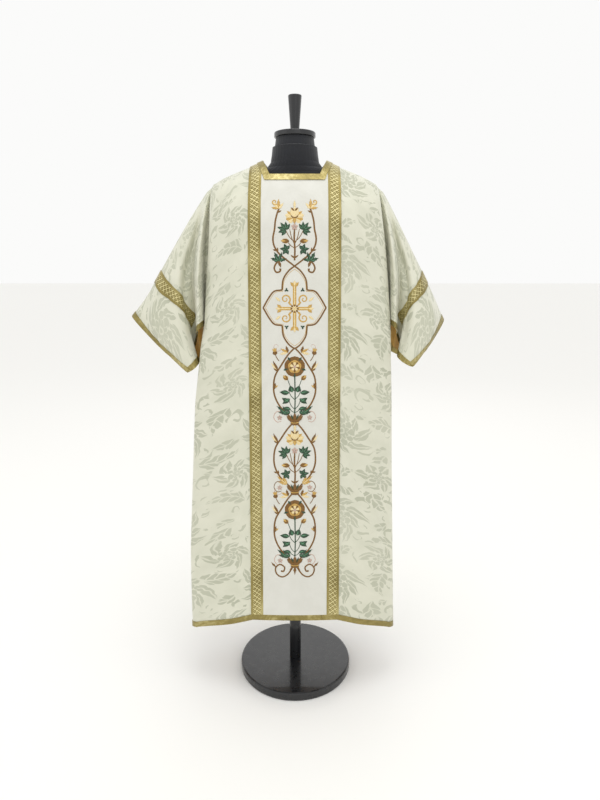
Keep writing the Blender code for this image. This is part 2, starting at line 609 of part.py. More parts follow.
def build_form():
    """The limbless body: a sphere's rings moved onto the levels of the table, widest at the chest."""
    rings = len(TORSO)
    bpy.ops.mesh.primitive_uv_sphere_add(segments=TORSO_SIDES, ring_count=rings + 1, radius=1)
    obj = bpy.context.object
    obj.name = "form_body"
    for vertex in obj.data.vertices:
        polar = math.acos(max(-1.0, min(1.0, vertex.co.z)))
        ring = round(polar / math.pi * (rings + 1))
        if ring == 0:
            vertex.co = (0, 0, TORSO[-1][0])
            continue
        if ring == rings + 1:
            vertex.co = (0, 0, TORSO[0][0])
            continue
        z, half_width, half_depth, middle, power = TORSO[rings - ring]
        angle = math.atan2(vertex.co.y, vertex.co.x)
        c, s = math.cos(angle), math.sin(angle)
        x = math.copysign(abs(c) ** (2 / power), c) * half_width
        y = math.copysign(abs(s) ** (2 / power), s) * half_depth
        vertex.co = (x, y + middle, z)
    finish(obj, JERSEY)


def build_stand():
    """Neck cap with its tapered handle above, pole and round base below."""
    bpy.ops.mesh.primitive_cylinder_add(vertices=48, radius=CAP_RADIUS, depth=CAP_HIGH_Z - CAP_LOW_Z,
                                        location=(0, 0, (CAP_HIGH_Z + CAP_LOW_Z) / 2))
    rounded("neck_cap", CAP_ROUNDING)
    low = CAP_HIGH_Z + GAP
    bpy.ops.mesh.primitive_cone_add(vertices=24, radius1=HANDLE_LOW_R, radius2=HANDLE_HIGH_R,
                                    depth=HANDLE_HIGH_Z - low, location=(0, 0, (HANDLE_HIGH_Z + low) / 2))
    rounded("cap_handle", HANDLE_ROUNDING)
    low, high = BASE_HEIGHT + GAP, TORSO[0][0] - GAP
    bpy.ops.mesh.primitive_cylinder_add(vertices=32, radius=POLE_RADIUS, depth=high - low,
                                        location=(0, 0, (high + low) / 2))
    bpy.context.object.name = "stand_pole"
    finish(bpy.context.object, LACQUER)
    bpy.ops.mesh.primitive_cylinder_add(vertices=64, radius=BASE_RADIUS, depth=BASE_HEIGHT,
                                        location=(0, 0, BASE_HEIGHT / 2))
    rounded("stand_base", BASE_ROUNDING)


def rounded(name, width):
    obj = bpy.context.object
    obj.name = name
    bevel = obj.modifiers.new("rounding", "BEVEL")
    bevel.width = width
    bevel.segments = 2
    finish(obj, LACQUER)


def main():
    clear_scene()
    build_body()
    build_neck_binding()
    for side in (-1, 1):
        build_sleeve(side)
    build_form()
    build_stand()


main()
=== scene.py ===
# %% [markdown]
# A dalmatic is the outer garment of a deacon: a wide tunic of figured silk, open down both sides and under
# the sleeves, with gold galloon and an embroidered band down the front. This lesson dresses the plain
# solids of the frame with finished cloth, one piece at a time. The frame is loaded first, because it fixes
# every size and place.
# %% Load the frame
import math

import bpy
import numpy as np
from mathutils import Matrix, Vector


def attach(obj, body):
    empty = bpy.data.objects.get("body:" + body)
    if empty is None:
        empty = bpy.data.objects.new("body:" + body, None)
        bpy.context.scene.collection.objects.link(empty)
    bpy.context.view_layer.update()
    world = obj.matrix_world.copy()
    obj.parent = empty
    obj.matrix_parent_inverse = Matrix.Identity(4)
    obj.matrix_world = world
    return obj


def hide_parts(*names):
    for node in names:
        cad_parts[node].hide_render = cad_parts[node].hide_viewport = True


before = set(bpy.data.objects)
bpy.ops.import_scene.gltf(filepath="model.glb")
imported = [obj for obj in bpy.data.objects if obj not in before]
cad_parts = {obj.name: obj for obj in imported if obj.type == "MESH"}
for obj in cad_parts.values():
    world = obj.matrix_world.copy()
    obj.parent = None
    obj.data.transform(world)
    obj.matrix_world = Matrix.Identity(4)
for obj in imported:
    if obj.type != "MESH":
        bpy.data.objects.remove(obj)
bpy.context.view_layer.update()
print("nodes to dress:", len(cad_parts))

# %% [markdown]
# The camera stands a little above the garment's waist and looks slightly down, as one stands before a
# garment on a stand. The lens is a mild wide angle. A small shift keeps the upright lines upright without
# tilting further.
# %% Camera
CAMERA_PLACE = (0.0134, -1.60, 1.152)
CAMERA_DOWN = math.radians(6.2)
LENS_MM, SENSOR_MM, LENS_SHIFT_Y = 26.667, 36, -0.0925
bpy.ops.object.camera_add(location=CAMERA_PLACE, rotation=(math.pi / 2 - CAMERA_DOWN, 0, 0))
camera = bpy.context.object
camera.data.sensor_fit = "VERTICAL"
camera.data.sensor_height = SENSOR_MM
camera.data.lens = LENS_MM
camera.data.shift_y = LENS_SHIFT_Y
bpy.context.scene.camera = camera
print("camera", tuple(round(c, 3) for c in camera.location))


# %% [markdown]
# Colours are given as hex values, as a designer reads them off a swatch. Blender computes with linear
# light, so one function turns a hex value into a linear colour.
#
# A material is a small tree of nodes. One function adds a node, sets its properties and joins its sockets,
# which keeps every material below short enough to read.
# %% Colours and nodes
def colour(hex_value):
    """An sRGB hex colour as linear RGBA."""
    parts = [int(hex_value[i:i + 2], 16) / 255 for i in (0, 2, 4)]
    return tuple(c / 12.92 if c < 0.04045 else ((c + 0.055) / 1.055) ** 2.4 for c in parts) + (1.0,)


def add(tree, kind, values, output=0, **settings):
    """Add one node and give one of its outputs. values go to its inputs in order, or by name from a
    dictionary, and each is a plain value or the output that it comes from."""
    made = tree.nodes.new("ShaderNode" + kind)
    for name, value in settings.items():
        setattr(made, name, value)
    for name, value in values.items() if isinstance(values, dict) else enumerate(values):
        if isinstance(value, bpy.types.NodeSocket):
            tree.links.new(value, made.inputs[name])
        else:
            made.inputs[name].default_value = value
    return made.outputs[output]


def new_material(name):
    """An empty material tree with its Principled shader."""
    material = bpy.data.materials.new(name)
    material.use_nodes = True
    return material, material.node_tree, material.node_tree.nodes["Principled BSDF"]


print("a mid grey in linear light:", round(colour("808080")[0], 3))


# %% [markdown]
# The studio is a pale floor that runs out of sight, with a bright even sky of the same tone, so the garment
# stands alone. Four wide soft lights, in front, above, at the left and behind, leave only gentle shade in
# the folds. The view transform is the plain one, so that white stays white and the ivory keeps its hue.
# %% Floor and light
FLOOR_SIZE = 60
bpy.ops.mesh.primitive_plane_add(size=FLOOR_SIZE, location=(0, 0, 0))
floor = bpy.context.object
floor.name = "studio_floor"
# Matt paper scatters its light evenly, so the floor shows no gleam and runs into the sky.
paper, tree, shader = new_material("matt_white_paper")
shader.inputs["Base Color"].default_value = colour("F8F7F4")
shader.inputs["Roughness"].default_value = 0.9
floor.data.materials.append(paper)

bpy.context.scene.view_settings.view_transform = "Standard"
world = bpy.data.worlds.new("studio_sky")
bpy.context.scene.world = world
world.use_nodes = True
world.node_tree.nodes["Background"].inputs["Color"].default_value = colour("FBFBFA")
world.node_tree.nodes["Background"].inputs["Strength"].default_value = 1.0

LIGHTS_AIM = (0, 0, 0.9)
LIGHTS = (
    # name       place                size   watts
    ("front", (0.9, -3.0, 3.0), 1.6, 10),
    ("top", (0.1, -0.7, 3.6), 1.4, 18),
    ("left", (-2.8, -1.4, 2.2), 1.8, 3),
    ("back", (0.5, 3.0, 2.6), 2.4, 6),
)
for name, place, size, watts in LIGHTS:
    aim = (Vector(LIGHTS_AIM) - Vector(place)).to_track_quat("-Z", "Y").to_euler()
    bpy.ops.object.light_add(type="AREA", location=place, rotation=aim)
    lamp = bpy.context.object
    lamp.name = name + "_softbox"
    lamp.data.size = size
    lamp.data.energy = watts
print("lights:", [row[0] for row in LIGHTS])


# %% [markdown]
# The garment is draped by formula. Each panel is a flat sheet of points that a function carries to its
# place on the form: first round the bend over the shoulder, then straight down. The tables give the panel's
# sections: how deep and how wide it stands at each distance below the shoulder seam, in metres. Every later
# piece, such as a band or a binding, is made from the same points, so nothing floats or sinks.
# %% Sections of the body
# Thickness of the lined damask and of a trim, the air between two layers, and the width of the edge braid.
CLOTH, TRIM, GAP, BRAID = 0.002, 0.0012, 0.0003, 0.015
# The neckline: its corners, the ends of its slanted sides, how its corners lean, and its heights. Here and in
# every table below, -1 is the front or the left, and 1 is the back or the right.
NECK_CORNER_X, NECK_SIDE_X, NECK_CORNER_LEAN = 0.063, 0.083, 0.83
NECK_Z = {-1: 1.368, 1: 1.394}
# How far from the middle each galloon starts and ends, the cloth turns, crests, takes its binding and ends.
BAND_INNER, BAND_OUTER = 0.083, 0.115
FLAT_X, CREST, BINDING_X, EDGE = 0.150, 0.220, 0.252, 0.270
# How far down the armhole ends, and how deep the back hangs beside the front.
UNDERARM, BACK_DEPTH = 0.360, 0.90
# Heights of the shoulder and of the hem at each distance across, then the radius of the bend at the shoulder.
SHOULDER = ((0.0, 1.418), (0.063, 1.4145), (0.083, 1.4115), (0.120, 1.396), (0.150, 1.384),
            (0.220, 1.357), (0.270, 1.349))
HEM = ((0.0, 0.214), (0.110, 0.214), (0.150, 0.203), (0.220, 0.160), (0.270, 0.143))
BEND = {-1: ((0.0, 0.200), (0.083, 0.180), (0.150, 0.130), (0.220, 0.090), (0.270, 0.060)),
        1: ((0.0, 0.095), (0.083, 0.095), (0.150, 0.090), (0.220, 0.080), (0.270, 0.060))}
LEVELS = (
    # drop   mid    turn   crest  edge   left_crest left_edge right_crest right_edge
    (0.000, 0.118, 0.110, 0.078, 0.050, 0.205, 0.2150, 0.205, 0.2150),
    (0.070, 0.122, 0.115, 0.082, 0.051, 0.208, 0.2165, 0.213, 0.2180),
    (0.150, 0.126, 0.120, 0.084, 0.051, 0.213, 0.2180, 0.223, 0.2255),
    (0.250, 0.129, 0.122, 0.085, 0.052, 0.220, 0.2235, 0.232, 0.2345),
    (0.360, 0.130, 0.124, 0.086, 0.052, 0.227, 0.2280, 0.2395, 0.2405),
    (0.430, 0.130, 0.124, 0.085, 0.050, 0.2385, 0.2360, 0.242, 0.2430),
    (0.465, 0.130, 0.124, 0.084, 0.048, 0.2420, 0.2385, 0.242, 0.2455),
    (0.510, 0.130, 0.124, 0.083, 0.044, 0.2465, 0.2490, 0.2425, 0.2490),
    (0.570, 0.130, 0.124, 0.080, 0.040, 0.252, 0.2620, 0.243, 0.2540),
    (0.740, 0.130, 0.124, 0.078, 0.036, 0.258, 0.2710, 0.245, 0.2570),
    (0.980, 0.131, 0.124, 0.076, 0.034, 0.268, 0.2820, 0.250, 0.2650),
    (1.210, 0.132, 0.125, 0.078, 0.036, 0.268, 0.2840, 0.256, 0.2720),
)
MID, TURN, CREST_Y, EDGE_Y = 1, 2, 3, 4
CREST_X, EDGE_X = {-1: 5, 1: 7}, {-1: 6, 1: 8}
print("sections:", len(LEVELS))


# %% The body's drape
def read(table, place, column=1):
    """Straight-line reading of a table, for one place or an array of them."""
    return np.interp(place, [row[0] for row in table], [row[column] for row in table])


def through(p0, p1, p2, p3, f):
    """Smooth curve from p1 to p2, bending towards its neighbours."""
    return 0.5 * (2 * p1 + (p2 - p0) * f + (2 * p0 - 5 * p1 + 4 * p2 - p3) * f ** 2
                  + (3 * p1 - p0 - 3 * p2 + p3) * f ** 3)


def body_place(face, across, drop, forward):
    """Points of the body's cloth, face -1 in front and 1 behind, from how far across and how far down they
    are. forward is how much of the bend over the shoulder is passed, from 0 to 1."""
    s = np.abs(across)
    left = across < 0
    mid, turn = read(LEVELS, drop, MID), read(LEVELS, drop, TURN)
    crest_x = np.where(left, read(LEVELS, drop, CREST_X[-1]), read(LEVELS, drop, CREST_X[1]))
    edge_x = np.where(left, read(LEVELS, drop, EDGE_X[-1]), read(LEVELS, drop, EDGE_X[1]))
    crest_y, edge_y = read(LEVELS, drop, CREST_Y), read(LEVELS, drop, EDGE_Y)
    before = np.clip((s - FLAT_X) / (CREST - FLAT_X), 0, 1)
    after = np.clip((s - CREST) / (EDGE - CREST), 0, 1)
    lead = mid + (turn - mid) / 4
    x_side = np.where(s <= CREST, through(FLAT_X / 2, FLAT_X, crest_x, edge_x, before),
                      through(FLAT_X, crest_x, edge_x, 2 * edge_x - crest_x, after))
    y_side = np.where(s <= CREST, through(lead, turn, crest_y, edge_y, before),
                      through(turn, crest_y, edge_y, 2 * edge_y - crest_y, after))
    x = np.where(s <= FLAT_X, s, x_side)
    y = np.where(s <= FLAT_X, mid + (turn - mid) * (s / FLAT_X) ** 2, y_side)
    depth = y * forward * (1.0 if face < 0 else BACK_DEPTH)
    z = read(SHOULDER, s) - drop
    return np.stack([np.where(left, -x, x), face * (depth + 2 * GAP), z + 0 * x], axis=-1)


def neck_angle(face, across):
    """How far round the bend the neckline is cut, in radians, at each place across."""
    s = np.abs(across)
    slant = np.clip((s - NECK_CORNER_X) / (NECK_SIDE_X - NECK_CORNER_X), 0, 1)
    cut = (read(SHOULDER, s) - NECK_Z[face]) * (1 - slant)
    return np.where(s < NECK_SIDE_X, np.arccos(1 - cut / read(BEND[face], s)), 0.0)


def body_rows(face, across, steps):
    """Points of a body panel, a row for each step: 0 to 1 is the bend, 1 to 2 the armhole, 2 to 3 the skirt
    down to the hem binding, 3 to 4 the binding's width."""
    across, steps = np.meshgrid(across, steps)
    s = np.abs(across)
    bend, top = read(BEND[face], s), neck_angle(face, across)
    whole = read(SHOULDER, s) - read(HEM, s)
    half = np.pi / 4
    angle = np.where(steps < 0.5, top + (half - top) * steps * 2, half * np.minimum(steps, 1) * 2)
    drop = np.where(steps <= 1, bend * (1 - np.cos(angle)), bend + (UNDERARM - bend) * (steps - 1))
    drop = np.where(steps > 2, UNDERARM + (whole - BRAID - UNDERARM) * (steps - 2), drop)
    drop = np.where(steps > 3, whole - BRAID * (4 - steps), drop)
    return body_place(face, across, drop, np.where(steps < 1, np.sin(angle), 1.0))


print("hem's middle at", np.round(body_rows(-1, np.array([0.0]), np.array([4.0]))[0, 0], 3))


# %% [markdown]
# Real cloth is never as smooth as a formula. The main creases are laid in one by one: each row of the table is
# one soft trough or ridge, a line across the flat panel with a width and a height. The height is added
# along the cloth's own normal, so the same creases carry through to every band that lies over them.
# %% Creases
FRONT_CREASES = (
    # from x, down   to x, down    half-width height
    (-0.185, 0.40, -0.205, 1.10, 0.016, 0.0035),
    (-0.150, 0.30, -0.160, 1.15, 0.013, -0.0026),
    (-0.222, 0.62, -0.232, 1.22, 0.014, 0.0036),
    (-0.125, 0.62, -0.212, 0.93, 0.018, -0.0018),
    (-0.200, 0.10, -0.130, 0.36, 0.012, -0.0022),
    (-0.145, 0.02, -0.205, 0.17, 0.009, -0.0028),
    (-0.120, 0.05, -0.176, 0.30, 0.011, 0.0018),
    (0.180, 0.42, 0.196, 1.16, 0.015, 0.0036),
    (0.148, 0.38, 0.150, 1.12, 0.012, -0.0024),
    (0.226, 0.50, 0.240, 1.22, 0.013, 0.0030),
    (0.205, 0.75, 0.214, 1.20, 0.010, -0.0030),
    (0.128, 0.04, 0.196, 0.20, 0.009, -0.0030),
    (0.165, 0.06, 0.205, 0.34, 0.011, 0.0024),
    (0.130, 0.22, 0.205, 0.42, 0.014, -0.0018),
    (-0.020, 0.70, -0.030, 1.20, 0.030, 0.0016),
    (0.045, 0.50, 0.040, 1.15, 0.026, -0.0014),
)
BACK_CREASES = (
    (-0.170, 0.35, -0.200, 1.15, 0.016, 0.0040),
    (-0.110, 0.45, -0.120, 1.20, 0.016, -0.0034),
    (-0.055, 0.30, -0.060, 1.15, 0.018, 0.0038),
    (0.000, 0.50, 0.010, 1.20, 0.017, -0.0032),
    (0.070, 0.32, 0.075, 1.18, 0.018, 0.0040),
    (0.130, 0.42, 0.140, 1.20, 0.014, -0.0036),
    (0.185, 0.34, 0.205, 1.16, 0.015, 0.0036),
    (-0.130, 0.04, -0.205, 0.22, 0.010, -0.0030),
    (0.120, 0.05, 0.200, 0.25, 0.011, -0.0028),
)
print("main creases:", len(FRONT_CREASES), "in front and", len(BACK_CREASES), "behind")


# %% Add the creases
def crease_heights(creases, x, down):
    """The sum of all creases at each flat place, each fading out towards its two ends."""
    height = np.zeros_like(x)
    for x0, down0, x1, down1, width, rise in creases:
        run_x, run_down = x1 - x0, down1 - down0
        length = math.hypot(run_x, run_down)
        along = ((x - x0) * run_x + (down - down0) * run_down) / length ** 2
        off = ((x - x0) * run_down - (down - down0) * run_x) / length
        fade = np.clip(along, 0, 1) * np.clip(1 - along, 0, 1) * 4
        height += rise * np.sqrt(fade) * np.exp(-(off / width) ** 2)
    return height


def normals(points):
    """The unit normal at each point of a grid of points."""
    along, down = np.gradient(points, axis=1), np.gradient(points, axis=0)
    normal = np.cross(along, down)
    return normal / np.maximum(np.linalg.norm(normal, axis=2, keepdims=True), 1e-9)


def distances_down(points, start):
    """How far down the cloth each point of a grid lies, added up row by row from the start."""
    steps = np.linalg.norm(np.diff(points, axis=0), axis=2)
    return np.vstack([start, start + np.cumsum(steps, axis=0)])


def body_sheet(face, across, steps):
    """A body panel's creased points, its outward normals and its flat places, in metres."""
    points = body_rows(face, across, steps)
    outward = normals(points)
    outward *= np.sign(outward[-1, len(across) // 2, 1] * face)
    start = neck_angle(face, across) * read(BEND[face], np.abs(across))
    flat = np.stack([np.broadcast_to(across, points.shape[:2]), distances_down(points, start)], axis=-1)
    height = crease_heights(FRONT_CREASES if face < 0 else BACK_CREASES, flat[..., 0], flat[..., 1])
    points = points + outward * height[..., None]
    facing = normals(points)
    facing *= np.sign(facing[-1, len(across) // 2, 1] * face)
    return points, facing, flat


print("creases are up to", 1000 * max(abs(row[-1]) for row in FRONT_CREASES + BACK_CREASES), "mm high")


# %% [markdown]
# A sheet starts as a grid primitive with the right number of cells. Its vertices are then moved onto the
# draped points, and its UV map holds the flat place of each one in metres, so that a woven pattern keeps
# its true scale. Solidify gives the cloth its thickness, with the lining's material on the inner face.
# %% Making a sheet
# Faces that meet at less than this are shaded as one smooth surface, so folds are soft and cut edges crisp.
SMOOTH_UNDER = math.radians(50)


def sheet(name, points, flat, thickness, materials, flip):
    """A cloth wall through a grid of points: rows from the top down, columns from left to right."""
    down, across = points.shape[0] - 1, points.shape[1] - 1
    bpy.ops.object.select_all(action="DESELECT")
    bpy.ops.mesh.primitive_grid_add(x_subdivisions=across, y_subdivisions=down, size=1)
    piece = bpy.context.object
    piece.name = name
    mesh = piece.data
    corners = np.empty(len(mesh.vertices) * 3)
    mesh.vertices.foreach_get("co", corners)
    corners = corners.reshape(-1, 3)
    column = np.rint((corners[:, 0] + 0.5) * across).astype(int)
    row = down - np.rint((corners[:, 1] + 0.5) * down).astype(int)
    mesh.vertices.foreach_set("co", points[row, column].reshape(-1))
    corner_vertex = np.empty(len(mesh.loops), int)
    mesh.loops.foreach_get("vertex_index", corner_vertex)
    places = flat[row, column][corner_vertex]
    mesh.uv_layers.active.name = "cloth"
    mesh.uv_layers["cloth"].data.foreach_set("uv", (places * (1, -1)).reshape(-1))
    if flip:
        mesh.flip_normals()
    for material in materials:
        mesh.materials.append(material)
    wall = piece.modifiers.new("wall", "SOLIDIFY")
    wall.thickness = thickness
    wall.offset = 0
    wall.material_offset = len(materials) - 1
    bpy.ops.object.modifier_apply(modifier="wall")
    bpy.ops.object.shade_smooth_by_angle(angle=SMOOTH_UNDER)
    return piece


print("cloth", 1000 * CLOTH, "mm thick, trim", 1000 * TRIM, "mm")


# %% Put a sheet in place of its solid
def dress(piece, node):
    """Hang a piece on the frame's root, hide the plain solid that it stands for, and print its faces."""
    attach(piece, "root")
    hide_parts(node)
    print(node, len(piece.data.polygons), "faces")


def even(*stretches):
    """Places along a line: each stretch is (from, to, parts)."""
    places = [np.linspace(a, b, parts, endpoint=False) for a, b, parts in stretches]
    return np.append(np.concatenate(places), stretches[-1][1])


print("even places, as an example:", even((0, 1, 2), (1, 4, 3)))


# %% [markdown]
# Damask is a silk with one colour and two weaves. The ground is satin, which shines, and the figure is
# woven the other way, so it looks duller and a little darker. The figure here is a free garden of big
# blooms in their ring of leaves, with leafy rosettes, bent leaves, hooked scrolls and small rings between
# them. Each kind of motif is one node group that fills a lattice of cells, one motif a cell. A random
# number for each cell turns and shifts its motif, and wrapping the cell's number makes the whole garden
# repeat. A motif keeps the ones after it off its place. A picture wrapped on the cloth would blur close up,
# while a pattern of nodes stays sharp.
# %% A motif's own place
CELLS_IN_REPEAT = (3.0, 3.0, 1.0)
EDGE_SOFT, GAP_LEFT = 0.0010, 0.12
ALONG_X, ALONG_Y = (1.0, 0.0, 0.0), (0.0, 1.0, 0.0)


def motif_group(name, numbers):
    """A group for one kind of motif. It gives its inputs, then x, y, the distance from the motif's centre and
    the angle round it, and a number from 0 to 1 that differs from cell to cell."""
    group = bpy.data.node_groups.new(name, "ShaderNodeTree")
    for socket in ("Place", "Origin", "Cell", "Stray"):
        group.interface.new_socket(socket, in_out="INPUT", socket_type="NodeSocketVector")
    for socket in numbers:
        group.interface.new_socket(socket, in_out="INPUT", socket_type="NodeSocketFloat")
    for socket in ("Woven", "Clear"):
        group.interface.new_socket(socket, in_out="OUTPUT", socket_type="NodeSocketFloat")
    given = group.nodes.new("NodeGroupInput").outputs
    place = add(group, "VectorMath", (given["Place"], given["Origin"]), operation="SUBTRACT")
    cells = add(group, "VectorMath", (place, given["Cell"]), operation="DIVIDE")
    number = add(group, "VectorMath", (cells,), operation="FLOOR")
    wrapped = add(group, "VectorMath", (number, CELLS_IN_REPEAT, (0.0, 0.0, 0.0)), operation="WRAP")
    seed = add(group, "VectorMath", (wrapped, given["Origin"]), operation="ADD")
    chance = add(group, "TexWhiteNoise", (seed,), output=1)
    middle = add(group, "VectorMath", (number, (0.5, 0.5, 0.0)), operation="ADD")
    middle = add(group, "VectorMath", (middle, given["Cell"]), operation="MULTIPLY")
    stray = add(group, "VectorMath", (chance, (0.5, 0.5, 0.5)), operation="SUBTRACT")
    middle = add(group, "VectorMath", (stray, given["Stray"], middle), operation="MULTIPLY_ADD")
    near = add(group, "VectorMath", (place, middle), operation="SUBTRACT")
    lot = add(group, "VectorMath", (chance, (0.0, 0.0, 1.0)), output=1, operation="DOT_PRODUCT")
    turn = add(group, "Math", (lot, math.tau), operation="MULTIPLY")
    near = add(group, "VectorRotate", {"Vector": near, "Angle": turn}, rotation_type="Z_AXIS")
    x = add(group, "VectorMath", (near, ALONG_X), output=1, operation="DOT_PRODUCT")
    y = add(group, "VectorMath", (near, ALONG_Y), output=1, operation="DOT_PRODUCT")
    flat = add(group, "VectorMath", (near, (1.0, 1.0, 0.0)), operation="MULTIPLY")
    radius = add(group, "VectorMath", (flat,), output=1, operation="LENGTH")
    return group, given, x, y, radius, add(group, "Math", (y, x), operation="ARCTAN2"), lot


def woven(group, inside, clear, *gaps):
    """End a group: woven where inside is above 0, and thinner in the gaps, where their values are below 0."""
    mask = add(group, "MapRange", (inside, 0.0, EDGE_SOFT, 0.0, 1.0))
    for gap in gaps:
        shut = add(group, "MapRange", (gap, 0.0, EDGE_SOFT, GAP_LEFT, 1.0))
        mask = add(group, "Math", (mask, shut), operation="MULTIPLY")
    out = group.nodes.new("NodeGroupOutput")
    group.links.new(mask, out.inputs["Woven"])
    group.links.new(add(group, "MapRange", (clear, 0.0, EDGE_SOFT, 0.0, 1.0)), out.inputs["Clear"])


print("the garden repeats after", int(CELLS_IN_REPEAT[0]), "cells each way")


# %% A bloom in its ring of leaves
bloom, given, _, _, radius, angle, lot = motif_group(
    "damask_bloom", ("Size", "Petals", "Leaves", "Swirl", "Reach"))
# The flower: a round edge that dips between its petals, with a hollow line and a heart left unwoven.
part = add(bloom, "Math", (radius, given["Size"]), operation="DIVIDE")
beat = add(bloom, "Math", (angle, given["Petals"]), operation="MULTIPLY")
beat = add(bloom, "Math", (beat, 0.5), operation="MULTIPLY")
petal = add(bloom, "Math", (add(bloom, "Math", (beat,), operation="COSINE"),), operation="ABSOLUTE")
cleft = add(bloom, "Math", (add(bloom, "Math", (beat,), operation="SINE"),), operation="ABSOLUTE")
tip = add(bloom, "MapRange", (petal, 0.0, 0.8, 0.62, 1.0))
flower = add(bloom, "Math", (tip, part), operation="SUBTRACT")
hollow = add(bloom, "MapRange", (cleft, 0.0, 0.9, 0.34, 0.62))
hollow = add(bloom, "Math", (add(bloom, "Math", (part, hollow), operation="SUBTRACT"),), operation="ABSOLUTE")
hollow = add(bloom, "Math", (hollow, 0.035), operation="SUBTRACT")
heart = add(bloom, "Math", (add(bloom, "Math", (part, 0.17), operation="SUBTRACT"),), operation="ABSOLUTE")
heart = add(bloom, "Math", (heart, 0.035), operation="SUBTRACT")
# The leaves round it: the circle is cut into sectors that swirl to one side. Each leaf has its own length.
handed = add(bloom, "MapRange", (lot, 0.45, 0.55, -1.0, 1.0))
swirl = add(bloom, "Math", (handed, given["Swirl"]), operation="MULTIPLY")
swirl = add(bloom, "Math", (part, swirl, angle), operation="MULTIPLY_ADD")
sector = add(bloom, "Math", (swirl, given["Leaves"]), operation="MULTIPLY")
sector = add(bloom, "Math", (sector, 1 / math.tau), operation="MULTIPLY")
which = add(bloom, "Math", (sector,), operation="FLOOR")
across = add(bloom, "Math", (add(bloom, "Math", (sector, which), operation="SUBTRACT"), 0.5),
             operation="SUBTRACT")
across = add(bloom, "Math", (across,), operation="ABSOLUTE")
uneven = add(bloom, "Math", (which, 2.4, lot), operation="MULTIPLY_ADD")
uneven = add(bloom, "Math", (uneven,), operation="SINE")
long = add(bloom, "Math", (uneven, 0.30, given["Reach"]), operation="MULTIPLY_ADD")
along = add(bloom, "MapRange", (part, 0.86, long, 0.0, 1.0))
# A leaf's edge is notched, and it swells and narrows along its length.
lobes = add(bloom, "Math", (along, 0.9, across), operation="MULTIPLY_ADD")
lobes = add(bloom, "Math", (add(bloom, "Math", (lobes, 11.0), operation="MULTIPLY"),), operation="SINE")
notch = add(bloom, "MapRange", (add(bloom, "Math", (lobes,), operation="ABSOLUTE"), 0.0, 0.6, 0.62, 1.0))
blade = add(bloom, "Math", (add(bloom, "Math", (along, 0.7), operation="POWER"), math.pi),
            operation="MULTIPLY")
blade = add(bloom, "Math", (add(bloom, "Math", (blade,), operation="SINE"), notch), operation="MULTIPLY")
blade = add(bloom, "Math", (blade, 0.46, -0.03), operation="MULTIPLY_ADD")
blade = add(bloom, "Math", (add(bloom, "Math", (blade, across), operation="SUBTRACT"), part),
            operation="MULTIPLY")
rib = add(bloom, "MapRange",
          (part, 0.98, 1.02, 1.0, add(bloom, "Math", (across, 0.035), operation="SUBTRACT")))
# All of it back in metres, so that every edge is equally sharp.
inside = add(bloom, "Math", (flower, blade), operation="MAXIMUM")
inside = add(bloom, "Math", (inside, given["Size"]), operation="MULTIPLY")
gap = add(bloom, "Math", (add(bloom, "Math", (hollow, heart), operation="MINIMUM"), rib), operation="MINIMUM")
gap = add(bloom, "Math", (gap, given["Size"]), operation="MULTIPLY")
clear = add(bloom, "Math", (add(bloom, "Math", (part, long), operation="SUBTRACT"), 0.01),
            operation="MULTIPLY")
woven(bloom, inside, clear, gap)
print("bloom:", len(bloom.nodes), "nodes")

# %% A lobed leaf that bends
leaf, given, x, y, _, _, _ = motif_group("damask_leaf", ("Length", "Width", "Bend", "Lobes"))
# How far along the leaf a place is, from 0 to 1, and how far off its curved spine.
start = add(leaf, "Math", (given["Length"], 0.5, x), operation="MULTIPLY_ADD")
part = add(leaf, "Math", (start, given["Length"]), operation="DIVIDE")
spine = add(leaf, "Math", (add(leaf, "Math", (x, x), operation="MULTIPLY"), given["Bend"]),
            operation="MULTIPLY")
off = add(leaf, "Math", (add(leaf, "Math", (y, spine), operation="SUBTRACT"), 0.004), operation="ADD")
off = add(leaf, "Math", (off,), operation="ABSOLUTE")
# Its lobes lean towards the tip, and the whole of it is widest before the middle.
lean = add(leaf, "Math", (add(leaf, "Math", (off, given["Width"]), operation="DIVIDE"), -0.2, part),
           operation="MULTIPLY_ADD")
beat = add(leaf, "Math", (add(leaf, "Math", (lean, given["Lobes"]), operation="MULTIPLY"), math.pi),
           operation="MULTIPLY")
lobe = add(leaf, "Math", (add(leaf, "Math", (beat,), operation="SINE"),), operation="ABSOLUTE")
notch = add(leaf, "MapRange", (lobe, 0.0, 0.7, 0.5, 1.0))
whole = add(leaf, "Math", (add(leaf, "Math", (part, 0.0), operation="MAXIMUM"), 0.7), operation="POWER")
whole = add(leaf, "Math", (add(leaf, "Math", (whole, math.pi), operation="MULTIPLY"),), operation="SINE")
whole = add(leaf, "Math", (add(leaf, "Math", (whole, given["Width"]), operation="MULTIPLY"), notch),
            operation="MULTIPLY")
inside = add(leaf, "Math", (whole, off), operation="SUBTRACT")
ends = add(leaf, "Math", (add(leaf, "Math", (1.0, part), operation="SUBTRACT"), part), operation="MINIMUM")
inside = add(leaf, "Math", (add(leaf, "Math", (ends, 0.1), operation="MULTIPLY"), inside),
             operation="MINIMUM")
# The rib and the veins between the lobes are left unwoven.
rib = add(leaf, "Math", (off, 0.0010), operation="SUBTRACT")
veins = add(leaf, "Math", (lobe, 0.006, -0.0012), operation="MULTIPLY_ADD")
woven(leaf, inside, add(leaf, "Math", (off, given["Width"]), operation="SUBTRACT"),
      add(leaf, "Math", (rib, veins), operation="MINIMUM"))
print("leaf:", len(leaf.nodes), "nodes")

# %% A hooked scroll
scroll, given, _, _, radius, angle, _ = motif_group("damask_scroll", ("Size", "Width", "Coil"))
